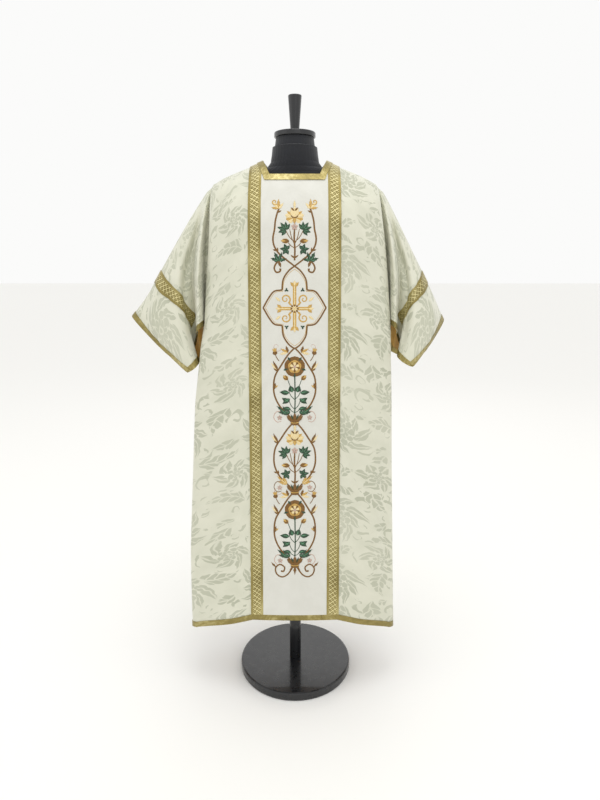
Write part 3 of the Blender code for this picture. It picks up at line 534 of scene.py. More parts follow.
# The line of the scroll winds in once round, and swells in its middle.
run = add(scroll, "MapRange", (angle, -math.pi, math.pi, 0.0, 1.0))
track = add(scroll, "MapRange", (run, 0.0, 1.0, given["Coil"], 1.0))
track = add(scroll, "Math", (track, given["Size"]), operation="MULTIPLY")
off = add(scroll, "Math", (add(scroll, "Math", (radius, track), operation="SUBTRACT"),), operation="ABSOLUTE")
swell = add(scroll, "Math", (add(scroll, "Math", (run, math.pi), operation="MULTIPLY"),), operation="SINE")
swell = add(scroll, "Math", (swell, 0.8, 0.3), operation="MULTIPLY_ADD")
swell = add(scroll, "Math", (swell, given["Width"]), operation="MULTIPLY")
woven(scroll, add(scroll, "Math", (swell, off), operation="SUBTRACT"),
      add(scroll, "Math", (radius, given["Size"]), operation="SUBTRACT"))
print("scroll:", len(scroll.nodes), "nodes")

# %% The garden of the damask
GARDEN = (
    # group, origin x and y, cell's width and height, how far a motif strays, then the group's own numbers. A
    # bloom is up to 16 cm over its leaves, a leaf 5 to 8 cm long and a scroll 1.5 to 4 cm.
    (bloom, (0.02, 0.03), (0.185, 0.215), (0.030, 0.050), (0.035, 9, 9, 0.7, 1.95)),
    (bloom, (0.115, 0.140), (0.185, 0.215), (0.030, 0.030), (0.017, 7, 6, 0.5, 2.6)),
    (leaf, (0.060, 0.010), (0.093, 0.107), (0.020, 0.024), (0.078, 0.017, 9.0, 5)),
    (scroll, (0.010, 0.060), (0.062, 0.072), (0.012, 0.016), (0.0185, 0.0050, 0.42)),
    (leaf, (0.040, 0.050), (0.062, 0.070), (0.014, 0.016), (0.046, 0.011, -14.0, 3)),
    (scroll, (0.030, 0.020), (0.052, 0.058), (0.022, 0.026), (0.0075, 0.0019, 1.0)),
)
WAVER, WAVER_PATCHES = 0.012, 60.0
damask, tree, shader = new_material("ivory_silk_damask")
cloth_map = add(tree, "UVMap", {}, uv_map="cloth")
# The garden's lines waver by a few millimetres every 17 mm, because silk gives under the weaver's beat.
waver = add(tree, "TexNoise", {"Vector": cloth_map, "Scale": WAVER_PATCHES, "Detail": 1.0}, output=1)
waver = add(tree, "VectorMath", (waver, (0.5, 0.5, 0.5)), operation="SUBTRACT")
waver = add(tree, "VectorMath", {0: waver, "Scale": WAVER}, operation="SCALE")
place = add(tree, "VectorMath", (cloth_map, waver), operation="ADD")
figure, clear = 0.0, 1.0
for group, origin, cell, stray, numbers in GARDEN:
    motif = tree.nodes.new("ShaderNodeGroup")
    motif.node_tree = group
    tree.links.new(place, motif.inputs["Place"])
    for socket, value in (("Origin", origin + (0.0,)), ("Cell", cell + (1.0,)), ("Stray", stray + (0.0,))):
        motif.inputs[socket].default_value = value
    for socket, value in enumerate(numbers, 4):
        motif.inputs[socket].default_value = value
    shown = add(tree, "Math", (motif.outputs["Woven"], clear), operation="MULTIPLY")
    figure = add(tree, "Math", (figure, shown), operation="MAXIMUM")
    clear = add(tree, "Math", (clear, motif.outputs["Clear"]), operation="MULTIPLY")
print("damask motif layers:", len(GARDEN))

# %% The damask's colours and gleam
# Silk satin gleams softly and its figure is duller, so the same ivory shows as two tones that meet at a clear
# edge. The figure's darker colour is its woven pattern, and partly painted sheen: it paints in the figure's
# weaker gleam, on top of its real higher roughness. Its colour drifts at random over 4 cm. Its figure fades in
# and out over 20 cm, a painted sheen that stands in for the satin's gleam changing with the angle of the
# light.
# Real twill lines are 0.3 mm apart, too fine to show, so they are drawn very low and 2.8 mm apart. Slanting
# bands of a wave texture lie 0.444 m apart at a scale of 1.
TWILL_SCALE = 160.0
# Painted sheen: the figure's contrast fades in and out over 20 cm, as the satin's gleam changes with the
# light.
fade = add(tree, "TexNoise", {"Vector": cloth_map, "Scale": 5.0, "Detail": 4.0})
figure = add(tree, "Math", (figure, add(tree, "MapRange", (fade, 0.35, 0.65, 0.55, 1.0))),
             operation="MULTIPLY")
slub = add(tree, "TexNoise", {"Vector": cloth_map, "Scale": 22.0, "Detail": 3.0})
tint = add(tree, "MapRange", (slub, 0.3, 0.7, 0.0, 1.0))
ground = add(tree, "Mix", {"Factor": tint, 6: colour("D8D7C5"), 7: colour("CECEBB")}, output=2,
             data_type="RGBA")
# The figure's darker colour: its woven pattern, partly painted as its weaker gleam (painted sheen).
cloth_colour = add(tree, "Mix", {"Factor": figure, 6: ground, 7: colour("B1B39E")}, output=2,
                   data_type="RGBA")
tree.links.new(cloth_colour, shader.inputs["Base Color"])
tree.links.new(add(tree, "MapRange", (figure, 0.0, 1.0, 0.42, 0.62)), shader.inputs["Roughness"])
shader.inputs["Sheen Weight"].default_value = 0.15
twill = add(tree, "TexWave", {"Vector": cloth_map, "Scale": TWILL_SCALE},
            bands_direction="DIAGONAL")
tree.links.new(add(tree, "Bump", {"Height": twill, "Strength": 0.12, "Distance": 0.0003}),
               shader.inputs["Normal"])
print("damask:", len(tree.nodes), "nodes")

# %% [markdown]
# The galloon is a woven ribbon of metallic gold thread: two sets of raised threads cross at a slant, and a
# small knot fills each diamond. The plain borders and the narrow edge braid show only their fine slanting
# threads. Real threads are 0.3 mm apart, too fine to show, so they are drawn at 1.2 mm. Modelling each of
# them would take millions of faces, so here they are a pattern of height on a thin woven strip.
# %% Galloon and braid
# Metal thread glints where it stands up and darkens in the hollows, and the colour paints that in: a painted
# glint on the raised threads and painted shade in the hollows. Height drives both colour and bump.
LATTICE, THREAD = 0.0125, 0.0012
THREAD_EDGE, KNOT_EDGE, KNOT_HEIGHT = (0.90, 0.975), (0.80, 0.40), 0.70
BORDER_STARTS, BORDER_HEIGHT = (0.0098, 0.0106), 0.35
# GOLD_LIGHT is the painted glint of the raised threads, GOLD_DARK the painted shade of the hollows.
GOLD_DARK, GOLD, GOLD_LIGHT = "6E6235", "978951", "DDD29C"


def crossed(tree, cloth_map, pitch):
    """Two sets of slanting waves, each from 0 to 1, that cross as a lattice of diamonds."""
    waves = []
    for slant in ((math.pi / pitch, math.pi / pitch, 0.0), (math.pi / pitch, -math.pi / pitch, 0.0)):
        run = add(tree, "VectorMath", (cloth_map, slant), output=1, operation="DOT_PRODUCT")
        waves.append(add(tree, "Math", (add(tree, "Math", (run,), operation="COSINE"),),
                         operation="ABSOLUTE"))
    return waves


def gold_material(name, pattern):
    """A gold woven material: pattern adds the height of its raised threads to a tree and gives it."""
    material, tree, shader = new_material(name)
    cloth_map = add(tree, "UVMap", {}, uv_map="cloth")
    raised = pattern(tree, cloth_map)
    one, other = crossed(tree, cloth_map, THREAD)
    fine = add(tree, "Math", (one, other), operation="MAXIMUM")
    gold_mottle = add(tree, "TexNoise", {"Vector": cloth_map, "Scale": 35.0, "Detail": 4.0})
    height = add(tree, "Math", (fine, 0.22, raised), operation="MULTIPLY_ADD")
    drift = add(tree, "TexNoise", {"Vector": cloth_map, "Scale": 11.0, "Detail": 2.0})
    # Painted glint and shade: height lifts raised threads towards light gold; random mottle and a slow drift
    # vary it further.
    painted_gleam_and_tone = add(tree, "Math", (gold_mottle, 0.4, height), operation="MULTIPLY_ADD")
    painted_gleam_and_tone = add(tree, "Math", (add(tree, "MapRange", (drift, 0.3, 0.7, -0.2, 0.35)), painted_gleam_and_tone), operation="ADD")
    ramp = tree.nodes.new("ShaderNodeValToRGB")
    tree.links.new(add(tree, "MapRange", (painted_gleam_and_tone, 0.2, 1.45, 0.0, 1.0)), ramp.inputs[0])
    for stop, (at, hex_value) in enumerate(((0.0, GOLD_DARK), (1.0, GOLD_LIGHT))):
        ramp.color_ramp.elements[stop].position = at
        ramp.color_ramp.elements[stop].color = colour(hex_value)
    ramp.color_ramp.elements.new(0.5).color = colour(GOLD)
    tree.links.new(ramp.outputs[0], shader.inputs["Base Color"])
    shader.inputs["Metallic"].default_value = 0.65
    tree.links.new(add(tree, "MapRange", (gold_mottle, 0.3, 0.7, 0.26, 0.44)), shader.inputs["Roughness"])
    tree.links.new(add(tree, "Bump", {"Height": height, "Strength": 0.7, "Distance": 0.0006}),
                   shader.inputs["Normal"])
    return material


def lattice(tree, cloth_map):
    """Raised slanting threads and a knot in each diamond, inside plain borders."""
    one, other = crossed(tree, cloth_map, LATTICE)
    thread = add(tree, "Math", (one, other), operation="MAXIMUM")
    thread = add(tree, "MapRange", (thread, *THREAD_EDGE, 0.0, 1.0))
    knot = add(tree, "Math", (one, other), operation="ADD")
    knot = add(tree, "MapRange", (knot, *KNOT_EDGE, 0.0, KNOT_HEIGHT))
    raised = add(tree, "Math", (thread, knot), operation="MAXIMUM")
    across = add(tree, "VectorMath", (cloth_map, ALONG_X), output=1, operation="DOT_PRODUCT")
    border = add(tree, "Math", (across,), operation="ABSOLUTE")
    border = add(tree, "MapRange", (border, *BORDER_STARTS, 1.0, 0.0))
    raised = add(tree, "Math", (raised, border), operation="MULTIPLY")
    border = add(tree, "Math", (1.0, border), operation="SUBTRACT")
    return add(tree, "Math", (border, BORDER_HEIGHT, raised), operation="MULTIPLY_ADD")


def plain(tree, cloth_map):
    """An even height, a little uneven along the braid."""
    uneven = add(tree, "TexNoise", {"Vector": cloth_map, "Scale": 120.0})
    return add(tree, "MapRange", (uneven, 0.3, 0.7, 0.15, 0.5))


galloon = gold_material("gold_lattice_galloon", lattice)
braid = gold_material("plain_gold_braid", plain)
print("gold materials:", galloon.name, "and", braid.name)

# %% [markdown]
# The plain silk of the middle band is a taffeta: its warp and weft are equal, so it has a fine even rib and
# little shine. The lining is a gold sateen. The form is covered with black cotton jersey, and its cap, pole
# and foot are steel and wood with a black gloss lacquer. Their ribs are 0.2 to 0.5 mm apart in life, too
# fine to show, so they are drawn 1.4 to 3.6 mm apart. One function makes the three cloths, because they
# differ only in colour, rib and gloss.
# %% Silk, lining and jersey
# Straight bands of a wave texture lie this far apart, in metres, at a scale of 1.
WAVE_SPACING = 0.314


def cloth_material(name, coords, light, dark, ribs, rib_strength, roughness, sheen, blotch):
    """A plain woven or knitted material: two colours that drift, and crossed ribs a given distance apart."""
    material, tree, shader = new_material(name)
    if coords == "cloth":
        place = add(tree, "UVMap", {}, uv_map="cloth")
    else:
        place = add(tree, "TexCoord", {}, output=3)
    drift = add(tree, "TexNoise", {"Vector": place, "Scale": blotch, "Detail": 4.0})
    mixed = add(tree, "MapRange", (drift, 0.3, 0.7, 0.0, 1.0))
    height = 0.0
    for direction, spacing in zip(("X", "Y", "Z"), ribs):
        if spacing:
            wave = add(tree, "TexWave", {"Vector": place, "Scale": WAVE_SPACING / spacing}, output=1,
                       bands_direction=direction)
            height = add(tree, "Math", (height, wave), operation="MAXIMUM")
    shade = add(tree, "Math", (height, 0.25, mixed), operation="MULTIPLY_ADD")
    tint = add(tree, "Mix", {"Factor": shade, 6: colour(light), 7: colour(dark)}, output=2, data_type="RGBA")
    tree.links.new(tint, shader.inputs["Base Color"])
    tree.links.new(add(tree, "MapRange", (drift, 0.3, 0.7, roughness - 0.04, roughness + 0.04)),
                   shader.inputs["Roughness"])
    shader.inputs["Sheen Weight"].default_value = sheen
    tree.links.new(add(tree, "Bump", {"Height": height, "Strength": rib_strength, "Distance": 0.0003}),
                   shader.inputs["Normal"])
    return material


# Taffeta's even rib leaves it flat and quiet behind the stitches.
plain_silk = cloth_material("plain_ivory_taffeta", "cloth", "DBDAD2", "D3D2C9", (0.0016, 0.0016),
                            rib_strength=0.16, roughness=0.6, sheen=0.1, blotch=18.0)
# Sateen floats its threads one way, so it is smoother than taffeta and glows warm inside the openings.
lining = cloth_material("gold_sateen_lining", "cloth", "BE9540", "A27A2C", (0.0014, 0.0),
                        rib_strength=0.2, roughness=0.45, sheen=0.1, blotch=30.0)
# Knitted cotton swallows light, and its short hairs leave a faint grey bloom at the edges.
jersey = cloth_material("black_cotton_jersey", "object", "0E1015", "1A1C22", (0.0028, 0.0, 0.0036),
                        rib_strength=0.35, roughness=0.85, sheen=0.25, blotch=60.0)
print("plain cloths:", plain_silk.name, lining.name, jersey.name)

# %% Lacquer, and the form's own materials
# Brushed lacquer is a smooth coat over black: it shows soft lights as gleams, with a slight orange peel.
lacquer, tree, shader = new_material("black_gloss_lacquer")
place = add(tree, "TexCoord", {}, output=3)
mottle = add(tree, "TexNoise", {"Vector": place, "Scale": 60.0, "Detail": 3.0})
tint = add(tree, "Mix", {"Factor": mottle, 6: colour("08090B"), 7: colour("121317")}, output=2,
           data_type="RGBA")
tree.links.new(tint, shader.inputs["Base Color"])
tree.links.new(add(tree, "MapRange", (mottle, 0.3, 0.7, 0.24, 0.36)), shader.inputs["Roughness"])
shader.inputs["Coat Weight"].default_value = 0.4
tree.links.new(add(tree, "Bump", {"Height": mottle, "Strength": 0.06, "Distance": 0.0005}),
               shader.inputs["Normal"])
for node, material in (("form_body", jersey), ("neck_cap", lacquer), ("cap_handle", lacquer),
                       ("stand_pole", lacquer), ("stand_base", lacquer)):
    for slot in bpy.data.objects[node].material_slots:
        slot.material = material
print("materials:", len(bpy.data.materials))

# %% [markdown]
# The body is two panels of damask that meet at the shoulders, a front and a back. They could be cut as flat
# grids and let fall in a cloth simulation, but its result is hard to steer and to repeat. The formula puts
# each fold where it belongs. Columns of points are closer where the cloth turns, and one runs along the
# edge of every trim.
# %% Front and back panels
SIDE_COLUMNS = even((0.0, BAND_INNER, 20), (BAND_INNER, BAND_OUTER, 8), (BAND_OUTER, FLAT_X, 9),
                    (FLAT_X, CREST, 18), (CREST, BINDING_X, 8), (BINDING_X, EDGE, 5))
COLUMNS = np.concatenate([-SIDE_COLUMNS[:0:-1], SIDE_COLUMNS])
# Rows: 36 round the bend, 20 down to the underarm, 100 down to the hem binding and 3 across it.
STEPS = even((0, 1, 36), (1, 2, 20), (2, 3, 100), (3, 4, 3))
UNDERARM_ROW, HEM_ROW = 56, 156
body = {}
for face, word in ((-1, "front"), (1, "back")):
    body[face] = body_sheet(face, COLUMNS, STEPS)
    points, _, flat = body[face]
    piece = sheet(word + "_cloth", points, flat, CLOTH, [damask, lining], flip=face > 0)
    dress(piece, word + "_panel")

# %% [markdown]
# The trims are sewn flat on the panels: the plain silk band down the front, a galloon over each of its
# edges, and the braid that binds the hem and the open sides. Each is a strip of the panel's own grid, moved
# out along the normals by the two thicknesses and a hair of air, so it follows every fold and never sinks
# in.
# %% Bands and bindings of the body
# From the middle of the damask to the middle of a trim that lies on it.
LIFT = CLOTH / 2 + GAP + TRIM / 2


def band(name, node, source, rows, columns, materials, lift, origin=0.0, flip=False):
    """A trim on a panel: the panel's points between two rows and two columns, moved out along its normals."""
    points, outward, flat = source
    part = (slice(rows[0], rows[1] + 1), slice(columns[0], columns[1] + 1))
    lifted = points[part] + outward[part] * lift
    places = flat[part] - (origin, 0)
    piece = sheet(name, lifted, places, TRIM, materials, flip)
    dress(piece, node)


def column_at(across):
    """The number of the panel's column nearest to a place across."""
    return int(np.argmin(np.abs(COLUMNS - across)))


last_row = len(STEPS) - 1
band("orphrey_cloth", "orphrey_panel", body[-1], (2, HEM_ROW),
     (column_at(-BAND_INNER), column_at(BAND_INNER)), [plain_silk], LIFT)
for side, word in ((-1, "left"), (1, "right")):
    inner, outer = sorted((column_at(side * BAND_INNER), column_at(side * BAND_OUTER)))
    band("galloon_" + word, "front_galloon_" + word, body[-1], (0, HEM_ROW),
         (inner, outer), [galloon], LIFT + GAP, origin=side * (BAND_INNER + BAND_OUTER) / 2)
for face, word in ((-1, "front"), (1, "back")):
    band("hem_braid_" + word, "hem_binding_" + word, body[face],
         (HEM_ROW, last_row), (0, len(COLUMNS) - 1), [braid], LIFT, flip=face > 0)
    for side, side_word in ((-1, "left"), (1, "right")):
        inner, outer = sorted((column_at(side * BINDING_X), column_at(side * EDGE)))
        band(f"side_braid_{word}_{side_word}", f"side_binding_{word}_{side_word}",
             body[face], (UNDERARM_ROW, HEM_ROW), (inner, outer), [braid], LIFT,
             origin=side * EDGE, flip=face > 0)


# %% [markdown]
# The neck's braid follows the cut edge all round: straight in front and behind, slanted up to each
# shoulder. It lies over the upper ends of the galloons, so it is lifted by one more layer. It is made as
# one closed strip, ring by ring outwards from the cut edge, and its two ends meet at one shoulder.
# %% Neck braid
NECK_LIFT = 0.0042
NECK_RINGS, SLANT_POINTS, STRAIGHT_POINTS = 8, 14, 64


def neck_line(face, below):
    """Points of the body's cloth along the neckline, or a distance below it, from -X to +X."""
    corner_x, side_x = NECK_CORNER_X + NECK_CORNER_LEAN * below, NECK_SIDE_X + below
    corner_z = NECK_Z[face] - below
    drop, bend = read(SHOULDER, corner_x) - corner_z, read(BEND[face], corner_x)
    slant_angle = np.linspace(0, np.arccos(1 - drop / bend), SLANT_POINTS)
    slant_x = side_x + (corner_x - side_x) * bend * (1 - np.cos(slant_angle)) / drop
    straight_x = np.linspace(-corner_x, corner_x, STRAIGHT_POINTS)[1:-1]
    s = np.abs(straight_x)
    straight_angle = np.arccos(1 - (read(SHOULDER, s) - corner_z) / read(BEND[face], s))
    across = np.concatenate([-slant_x, straight_x, slant_x[::-1]])
    angle = np.concatenate([slant_angle, straight_angle, slant_angle[::-1]])
    return body_place(face, across, read(BEND[face], np.abs(across)) * (1 - np.cos(angle)), np.sin(angle))


ring = []
for below in np.linspace(0, BRAID, NECK_RINGS):
    line = np.concatenate([neck_line(-1, below), neck_line(1, below)[::-1]])
    ring.append(np.concatenate([line, line[:1]]))
ring = np.array(ring)
outward = normals(ring)
outward = outward * -np.sign(outward[3, len(ring[0]) // 4, 1])
outward[:, [0, -1]] = (outward[:, :1] + outward[:, -1:]) / 2
ring = ring + outward / np.linalg.norm(outward, axis=2, keepdims=True) * NECK_LIFT
around = np.linalg.norm(np.diff(ring.mean(axis=0), axis=0), axis=1).cumsum()
flat = np.stack(np.meshgrid(np.append(0.0, around), np.linspace(0, BRAID, NECK_RINGS)), axis=-1)
piece = sheet("neck_braid", ring, flat, TRIM, [braid], flip=False)
dress(piece, "neck_binding")

# %% [markdown]
# Each sleeve is one sheet folded over its ridge, the line that runs from the shoulder out to the cuff. From
# the ridge the cloth falls in a few strong creases, so its table names them one by one, from the armhole
# out: where the crease leaves the ridge, where it passes half way down and where it ends on the open lower
# edge. The back half has the same creases, but its lower edge hangs a little lower, so the gold lining
# shows under the arm. A simulated sleeve would find folds of its own, and these have to fall in known
# places.
# %% The sleeves' creases
RIDGE = {
    -1: ((0.215, 0.0, 1.349), (0.233, 0.0, 1.333), (0.274, 0.0, 1.270), (0.3115, 0.0, 1.207),
         (0.369, 0.0, 1.108), (0.414, 0.0, 1.033), (0.440, 0.0, 1.005)),
    1: ((0.215, 0.0, 1.349), (0.2335, 0.0, 1.333), (0.262, 0.003, 1.281), (0.3045, 0.008, 1.196),
        (0.357, 0.016, 1.097), (0.396, 0.023, 1.020), (0.411, 0.026, 0.985)),
}
FOLDS = {
    -1: (
        # name     along   x mid   y mid  z mid   x low   y low  z low  bend
        ("valley", 0.004, 0.2330, 0.043, 1.170, 0.2350, 0.042, 0.984, 0.050),
        ("flank", 0.008, 0.2375, 0.070, 1.170, 0.2380, 0.076, 0.986, 0.050),
        ("fold", 0.014, 0.2430, 0.090, 1.165, 0.2470, 0.094, 0.978, 0.050),
        ("inside", 0.022, 0.2530, 0.070, 1.160, 0.2560, 0.070, 0.967, 0.049),
        ("deep", 0.036, 0.2660, 0.034, 1.150, 0.2620, 0.022, 0.955, 0.046),
        ("turn", 0.065, 0.2850, 0.046, 1.130, 0.2700, 0.038, 0.907, 0.044),
        ("face", 0.110, 0.3030, 0.060, 1.110, 0.2530, 0.060, 0.889, 0.043),
        ("face2", 0.180, 0.3290, 0.062, 1.080, 0.2560, 0.075, 0.880, 0.040),
        ("face3", 0.260, 0.3560, 0.057, 1.035, 0.2640, 0.079, 0.873, 0.037),
        ("face4", 0.340, 0.3750, 0.050, 0.985, 0.2730, 0.074, 0.867, 0.034),
        ("cuff", 0.412, 0.3680, 0.044, 0.938, 0.2810, 0.066, 0.863, 0.030),
    ),
    1: (
        ("valley", 0.004, 0.2400, 0.043, 1.170, 0.2475, 0.042, 0.984, 0.050),
        ("flank", 0.008, 0.2435, 0.070, 1.170, 0.2490, 0.076, 0.990, 0.050),
        ("fold", 0.014, 0.2500, 0.090, 1.165, 0.2570, 0.094, 0.984, 0.050),
        ("inside", 0.022, 0.2600, 0.070, 1.160, 0.2655, 0.070, 0.973, 0.049),
        ("deep", 0.036, 0.2700, 0.044, 1.150, 0.2720, 0.032, 0.958, 0.046),
        ("turn", 0.065, 0.2860, 0.056, 1.130, 0.2800, 0.050, 0.925, 0.044),
        ("face", 0.110, 0.3000, 0.066, 1.110, 0.2680, 0.070, 0.908, 0.043),
        ("face2", 0.180, 0.3210, 0.074, 1.080, 0.2740, 0.088, 0.897, 0.040),
        ("face3", 0.260, 0.3440, 0.074, 1.035, 0.2840, 0.096, 0.891, 0.037),
        ("face4", 0.340, 0.3640, 0.070, 0.985, 0.2940, 0.098, 0.886, 0.034),
        ("cuff", 0.406, 0.3600, 0.062, 0.942, 0.3030, 0.096, 0.883, 0.030),
    ),
}
BACK_FOLDS = {
    # name: how deep the back half is beside the front, and how much nearer the body and lower its edge hangs
    "valley": (1.00, 0.000, 0.000), "flank": (0.92, 0.000, 0.004), "fold": (0.86, 0.004, 0.020),
    "inside": (0.86, 0.014, 0.035), "deep": (1.40, 0.020, 0.045), "turn": (0.95, 0.026, 0.022),
    "face": (0.92, 0.000, 0.000), "face2": (0.95, 0.000, 0.000), "face3": (0.95, 0.000, 0.000),
    "face4": (0.95, 0.000, 0.000), "cuff": (0.95, 0.000, 0.000),
}
# How fully the cloth swells from the ridge, how straight it ends, and the seam's place off the body's edge.
RIDGE_FULLNESS, LOW_PULL, SEAM = 2.4, 1.1, 0.0026
# The flat cut: half the armhole, and the cuff's lower corner. Then the galloon's distance from the cuff, how
# much further off it lies at the lower edge, and the part down the sleeve where the underarm binding starts.
FLAT_ARMHOLE, FLAT_CUFF_LOW = 0.385, (0.320, 0.215)
GALLOON_FROM_CUFF, GALLOON_RISE = (0.108, 0.141), 0.012
EDGE_BACK = 0.963
LINES = len(FOLDS[1])
print("strong creases on each half of a sleeve:", LINES)


# %% A crease from the ridge to the lower edge
def ridge_place(side, along):
    """Point on the sleeve's ridge, along metres out from the shoulder's end."""
    points = np.array(RIDGE[side])
    gone = np.concatenate([[0], np.cumsum(np.linalg.norm(np.diff(points, axis=0), axis=1))])
    return np.array([np.interp(along, gone, points[:, k]) for k in range(3)])


def curve(a, leave_a, b, leave_b, f):
    """Curve from a to b that leaves and arrives in the given directions."""
    f = f[:, None]
    return (a * (2 * f ** 3 - 3 * f ** 2 + 1) + leave_a * (f ** 3 - 2 * f ** 2 + f)
            + b * (3 * f ** 2 - 2 * f ** 3) + leave_b * (f ** 3 - f ** 2))


def crease_line(side, face, fold, down):
    """One crease from the ridge to the lower edge, x out and y forwards, at each of the parts down it."""
    name, along, x_mid, y_mid, z_mid, x_low, y_low, z_low, bend = fold
    deep, nearer, lower_by = (1.0, 0.0, 0.0) if face < 0 else BACK_FOLDS[name]
    x, y, z = ridge_place(side, along)
    top = np.array([x, -y, z])
    middle = np.array([x_mid, -y / 2 - face * y_mid * deep, z_mid])
    low = np.array([x_low - nearer, -face * y_low * deep, z_low - lower_by])
    over = np.array([0, -face * bend * RIDGE_FULLNESS, 0])
    upper = curve(top, over, middle, (low - top) / 2, np.clip(down * 2, 0, 1))
    lower = curve(middle, (low - top) / 2, low, (low - middle) * LOW_PULL, np.clip(down * 2 - 1, 0, 1))
    return np.where(down[:, None] <= 0.5, upper, lower)


print("left cuff's end of the ridge:", np.round(ridge_place(-1, FOLDS[-1][-1][1]), 3))


# %% The whole sleeve between its creases
ARMHOLE_PARTS, BESIDE_EDGE = 400, 0.0005


def armhole_line(side, face, down):
    """The sleeve's seam along the body's side edge, level with the first crease."""
    steps = np.linspace(0, 2, ARMHOLE_PARTS)
    edge = body_rows(face, np.array([side * (EDGE - BESIDE_EDGE), side * EDGE]), steps)
    away = edge[:, 1] - edge[:, 0]
    seam = edge[:, 1] + away / np.linalg.norm(away, axis=1, keepdims=True) * SEAM
    first = crease_line(side, face, FOLDS[side][0], np.append(down, [0, 1]))[:, 2]
    share = (first[:-2] - first[-2]) / (first[-1] - first[-2])
    share = np.clip(share, 0, 1)
    heights = edge[0, 1, 2] + (edge[-1, 1, 2] - edge[0, 1, 2]) * share
    order = np.argsort(edge[:, 1, 2])
    seam = np.stack([np.interp(heights, edge[order, 1, 2], seam[order, k]) for k in range(3)], axis=1)
    return np.stack([np.abs(seam[:, 0]), -seam[:, 1], seam[:, 2]], axis=1)


def sleeve_rows(side, lines, down):
    """Points of a sleeve for arrays of lines and of parts down, from -1 at the front edge to 1 behind."""
    points = np.empty(lines.shape + (3,))
    for face in (-1, 1):
        here = (down < 0) if face < 0 else (down >= 0)
        wanted, parts = lines[here], np.abs(down[here])
        if not len(wanted):
            continue
        known, index = np.unique(parts, return_inverse=True)
        creases = [armhole_line(side, face, known)]
        creases += [crease_line(side, face, fold, known) for fold in FOLDS[side]]
        creases = [2 * creases[0] - creases[1]] + creases + [2 * creases[-1] - creases[-2]] * 2
        creases = np.array(creases)
        line = np.minimum(wanted.astype(int), LINES)
        f = (wanted - line)[:, None]
        points[here] = through(*(creases[line + k, index] for k in range(4)), f)
    return points * (side, -1, 1)


def flat_on_sleeve(side, lines, down):
    """Where points of the sleeve lie on its flat cut: out along the ridge, and down from it."""
    alongs = [0.0] + [fold[1] for fold in FOLDS[side]]
    lower = np.array([crease_line(side, -1, fold, np.array([1.0]))[0] for fold in FOLDS[side]])
    lower = np.vstack([armhole_line(side, -1, np.array([1.0])), lower])
    edge = np.concatenate([[0], np.cumsum(np.linalg.norm(np.diff(lower, axis=0), axis=1))])
    numbers = np.arange(LINES + 1)
    top, low = np.interp(lines, numbers, alongs), np.interp(lines, numbers, edge / edge[-1])
    low_down = FLAT_ARMHOLE + (FLAT_CUFF_LOW[1] - FLAT_ARMHOLE) * low
    return np.stack([top + (FLAT_CUFF_LOW[0] * low - top) * np.abs(down), low_down * down], axis=-1)


print("left sleeve's ridge is", FOLDS[-1][-1][1], "m long, and its armhole", 2 * FLAT_ARMHOLE, "m")


# %% [markdown]
# The sleeve keeps softer creases of its own between the strong ones, and its cuff and galloon follow
# straight lines of the flat cut, as they were sewn on before the sleeve was folded. So each row of a band
# is found by asking which place on the draped sleeve lies on that straight line.
# %% The sleeve's softer creases
SLEEVE_CREASES = (
    # from out, down  to out, down    half-width height
    (0.04, -0.040, 0.325, -0.205, 0.014, 0.0042),
    (0.04, -0.078, 0.300, -0.245, 0.017, -0.0046),
    (0.16, -0.06, 0.30, -0.20, 0.012, -0.0020),
    (0.24, -0.04, 0.36, -0.16, 0.011, 0.0022),
    (0.10, -0.10, 0.20, -0.30, 0.012, 0.0016),
    (0.33, -0.05, 0.35, -0.19, 0.010, -0.0016),
    (0.18, 0.06, 0.30, 0.22, 0.012, -0.0026),
    (0.26, 0.04, 0.36, 0.18, 0.011, 0.0028),
    (0.12, 0.10, 0.22, 0.30, 0.013, 0.0022),
)
SLEEVE_LINES = even((0, 5, 44), (5, 7, 16), (7, 11, 30))
# Rows of the underarm binding, places searched for a line along the cuff, and columns of a band.
EDGE_ROWS, CUFF_SEARCH, BAND_COLUMNS = 3, 1200, 7
SLEEVE_DOWNS = even((-1, -EDGE_BACK, EDGE_ROWS), (-EDGE_BACK, -0.3, 46), (-0.3, 0, 26),
                    (0, 0.3, 26), (0.3, EDGE_BACK, 46), (EDGE_BACK, 1, EDGE_ROWS))


def sleeve_sheet(side, lines, down):
    """A sleeve's creased points, its outward normals and its flat places."""
    points = sleeve_rows(side, lines, down)
    flat = flat_on_sleeve(side, lines, down)
    outward = normals(points) * side
    points = points + outward * crease_heights(SLEEVE_CREASES, flat[..., 0], flat[..., 1])[..., None]
    return points, normals(points) * side, flat


def line_on_cuff(side, from_cuff, down, rise):
    """Which line each part down the sleeve's cuff, or a straight line along it, lies on. The line may rise
    away from the cuff towards the lower edge."""
    ridge_length = FOLDS[side][-1][1]
    slant = (ridge_length - FLAT_CUFF_LOW[0]) / FLAT_CUFF_LOW[1]
    lines = np.linspace(LINES, 0, CUFF_SEARCH)
    found = []
    for part in down:
        flat = flat_on_sleeve(side, lines, np.full(len(lines), part))
        over = flat[:, 0] - (ridge_length - from_cuff - rise * abs(part) - slant * np.abs(flat[:, 1]))
        found.append(lines[np.argmin(np.abs(over))])
    return np.array(found)


print("sleeve grid:", len(SLEEVE_LINES), "by", len(SLEEVE_DOWNS))

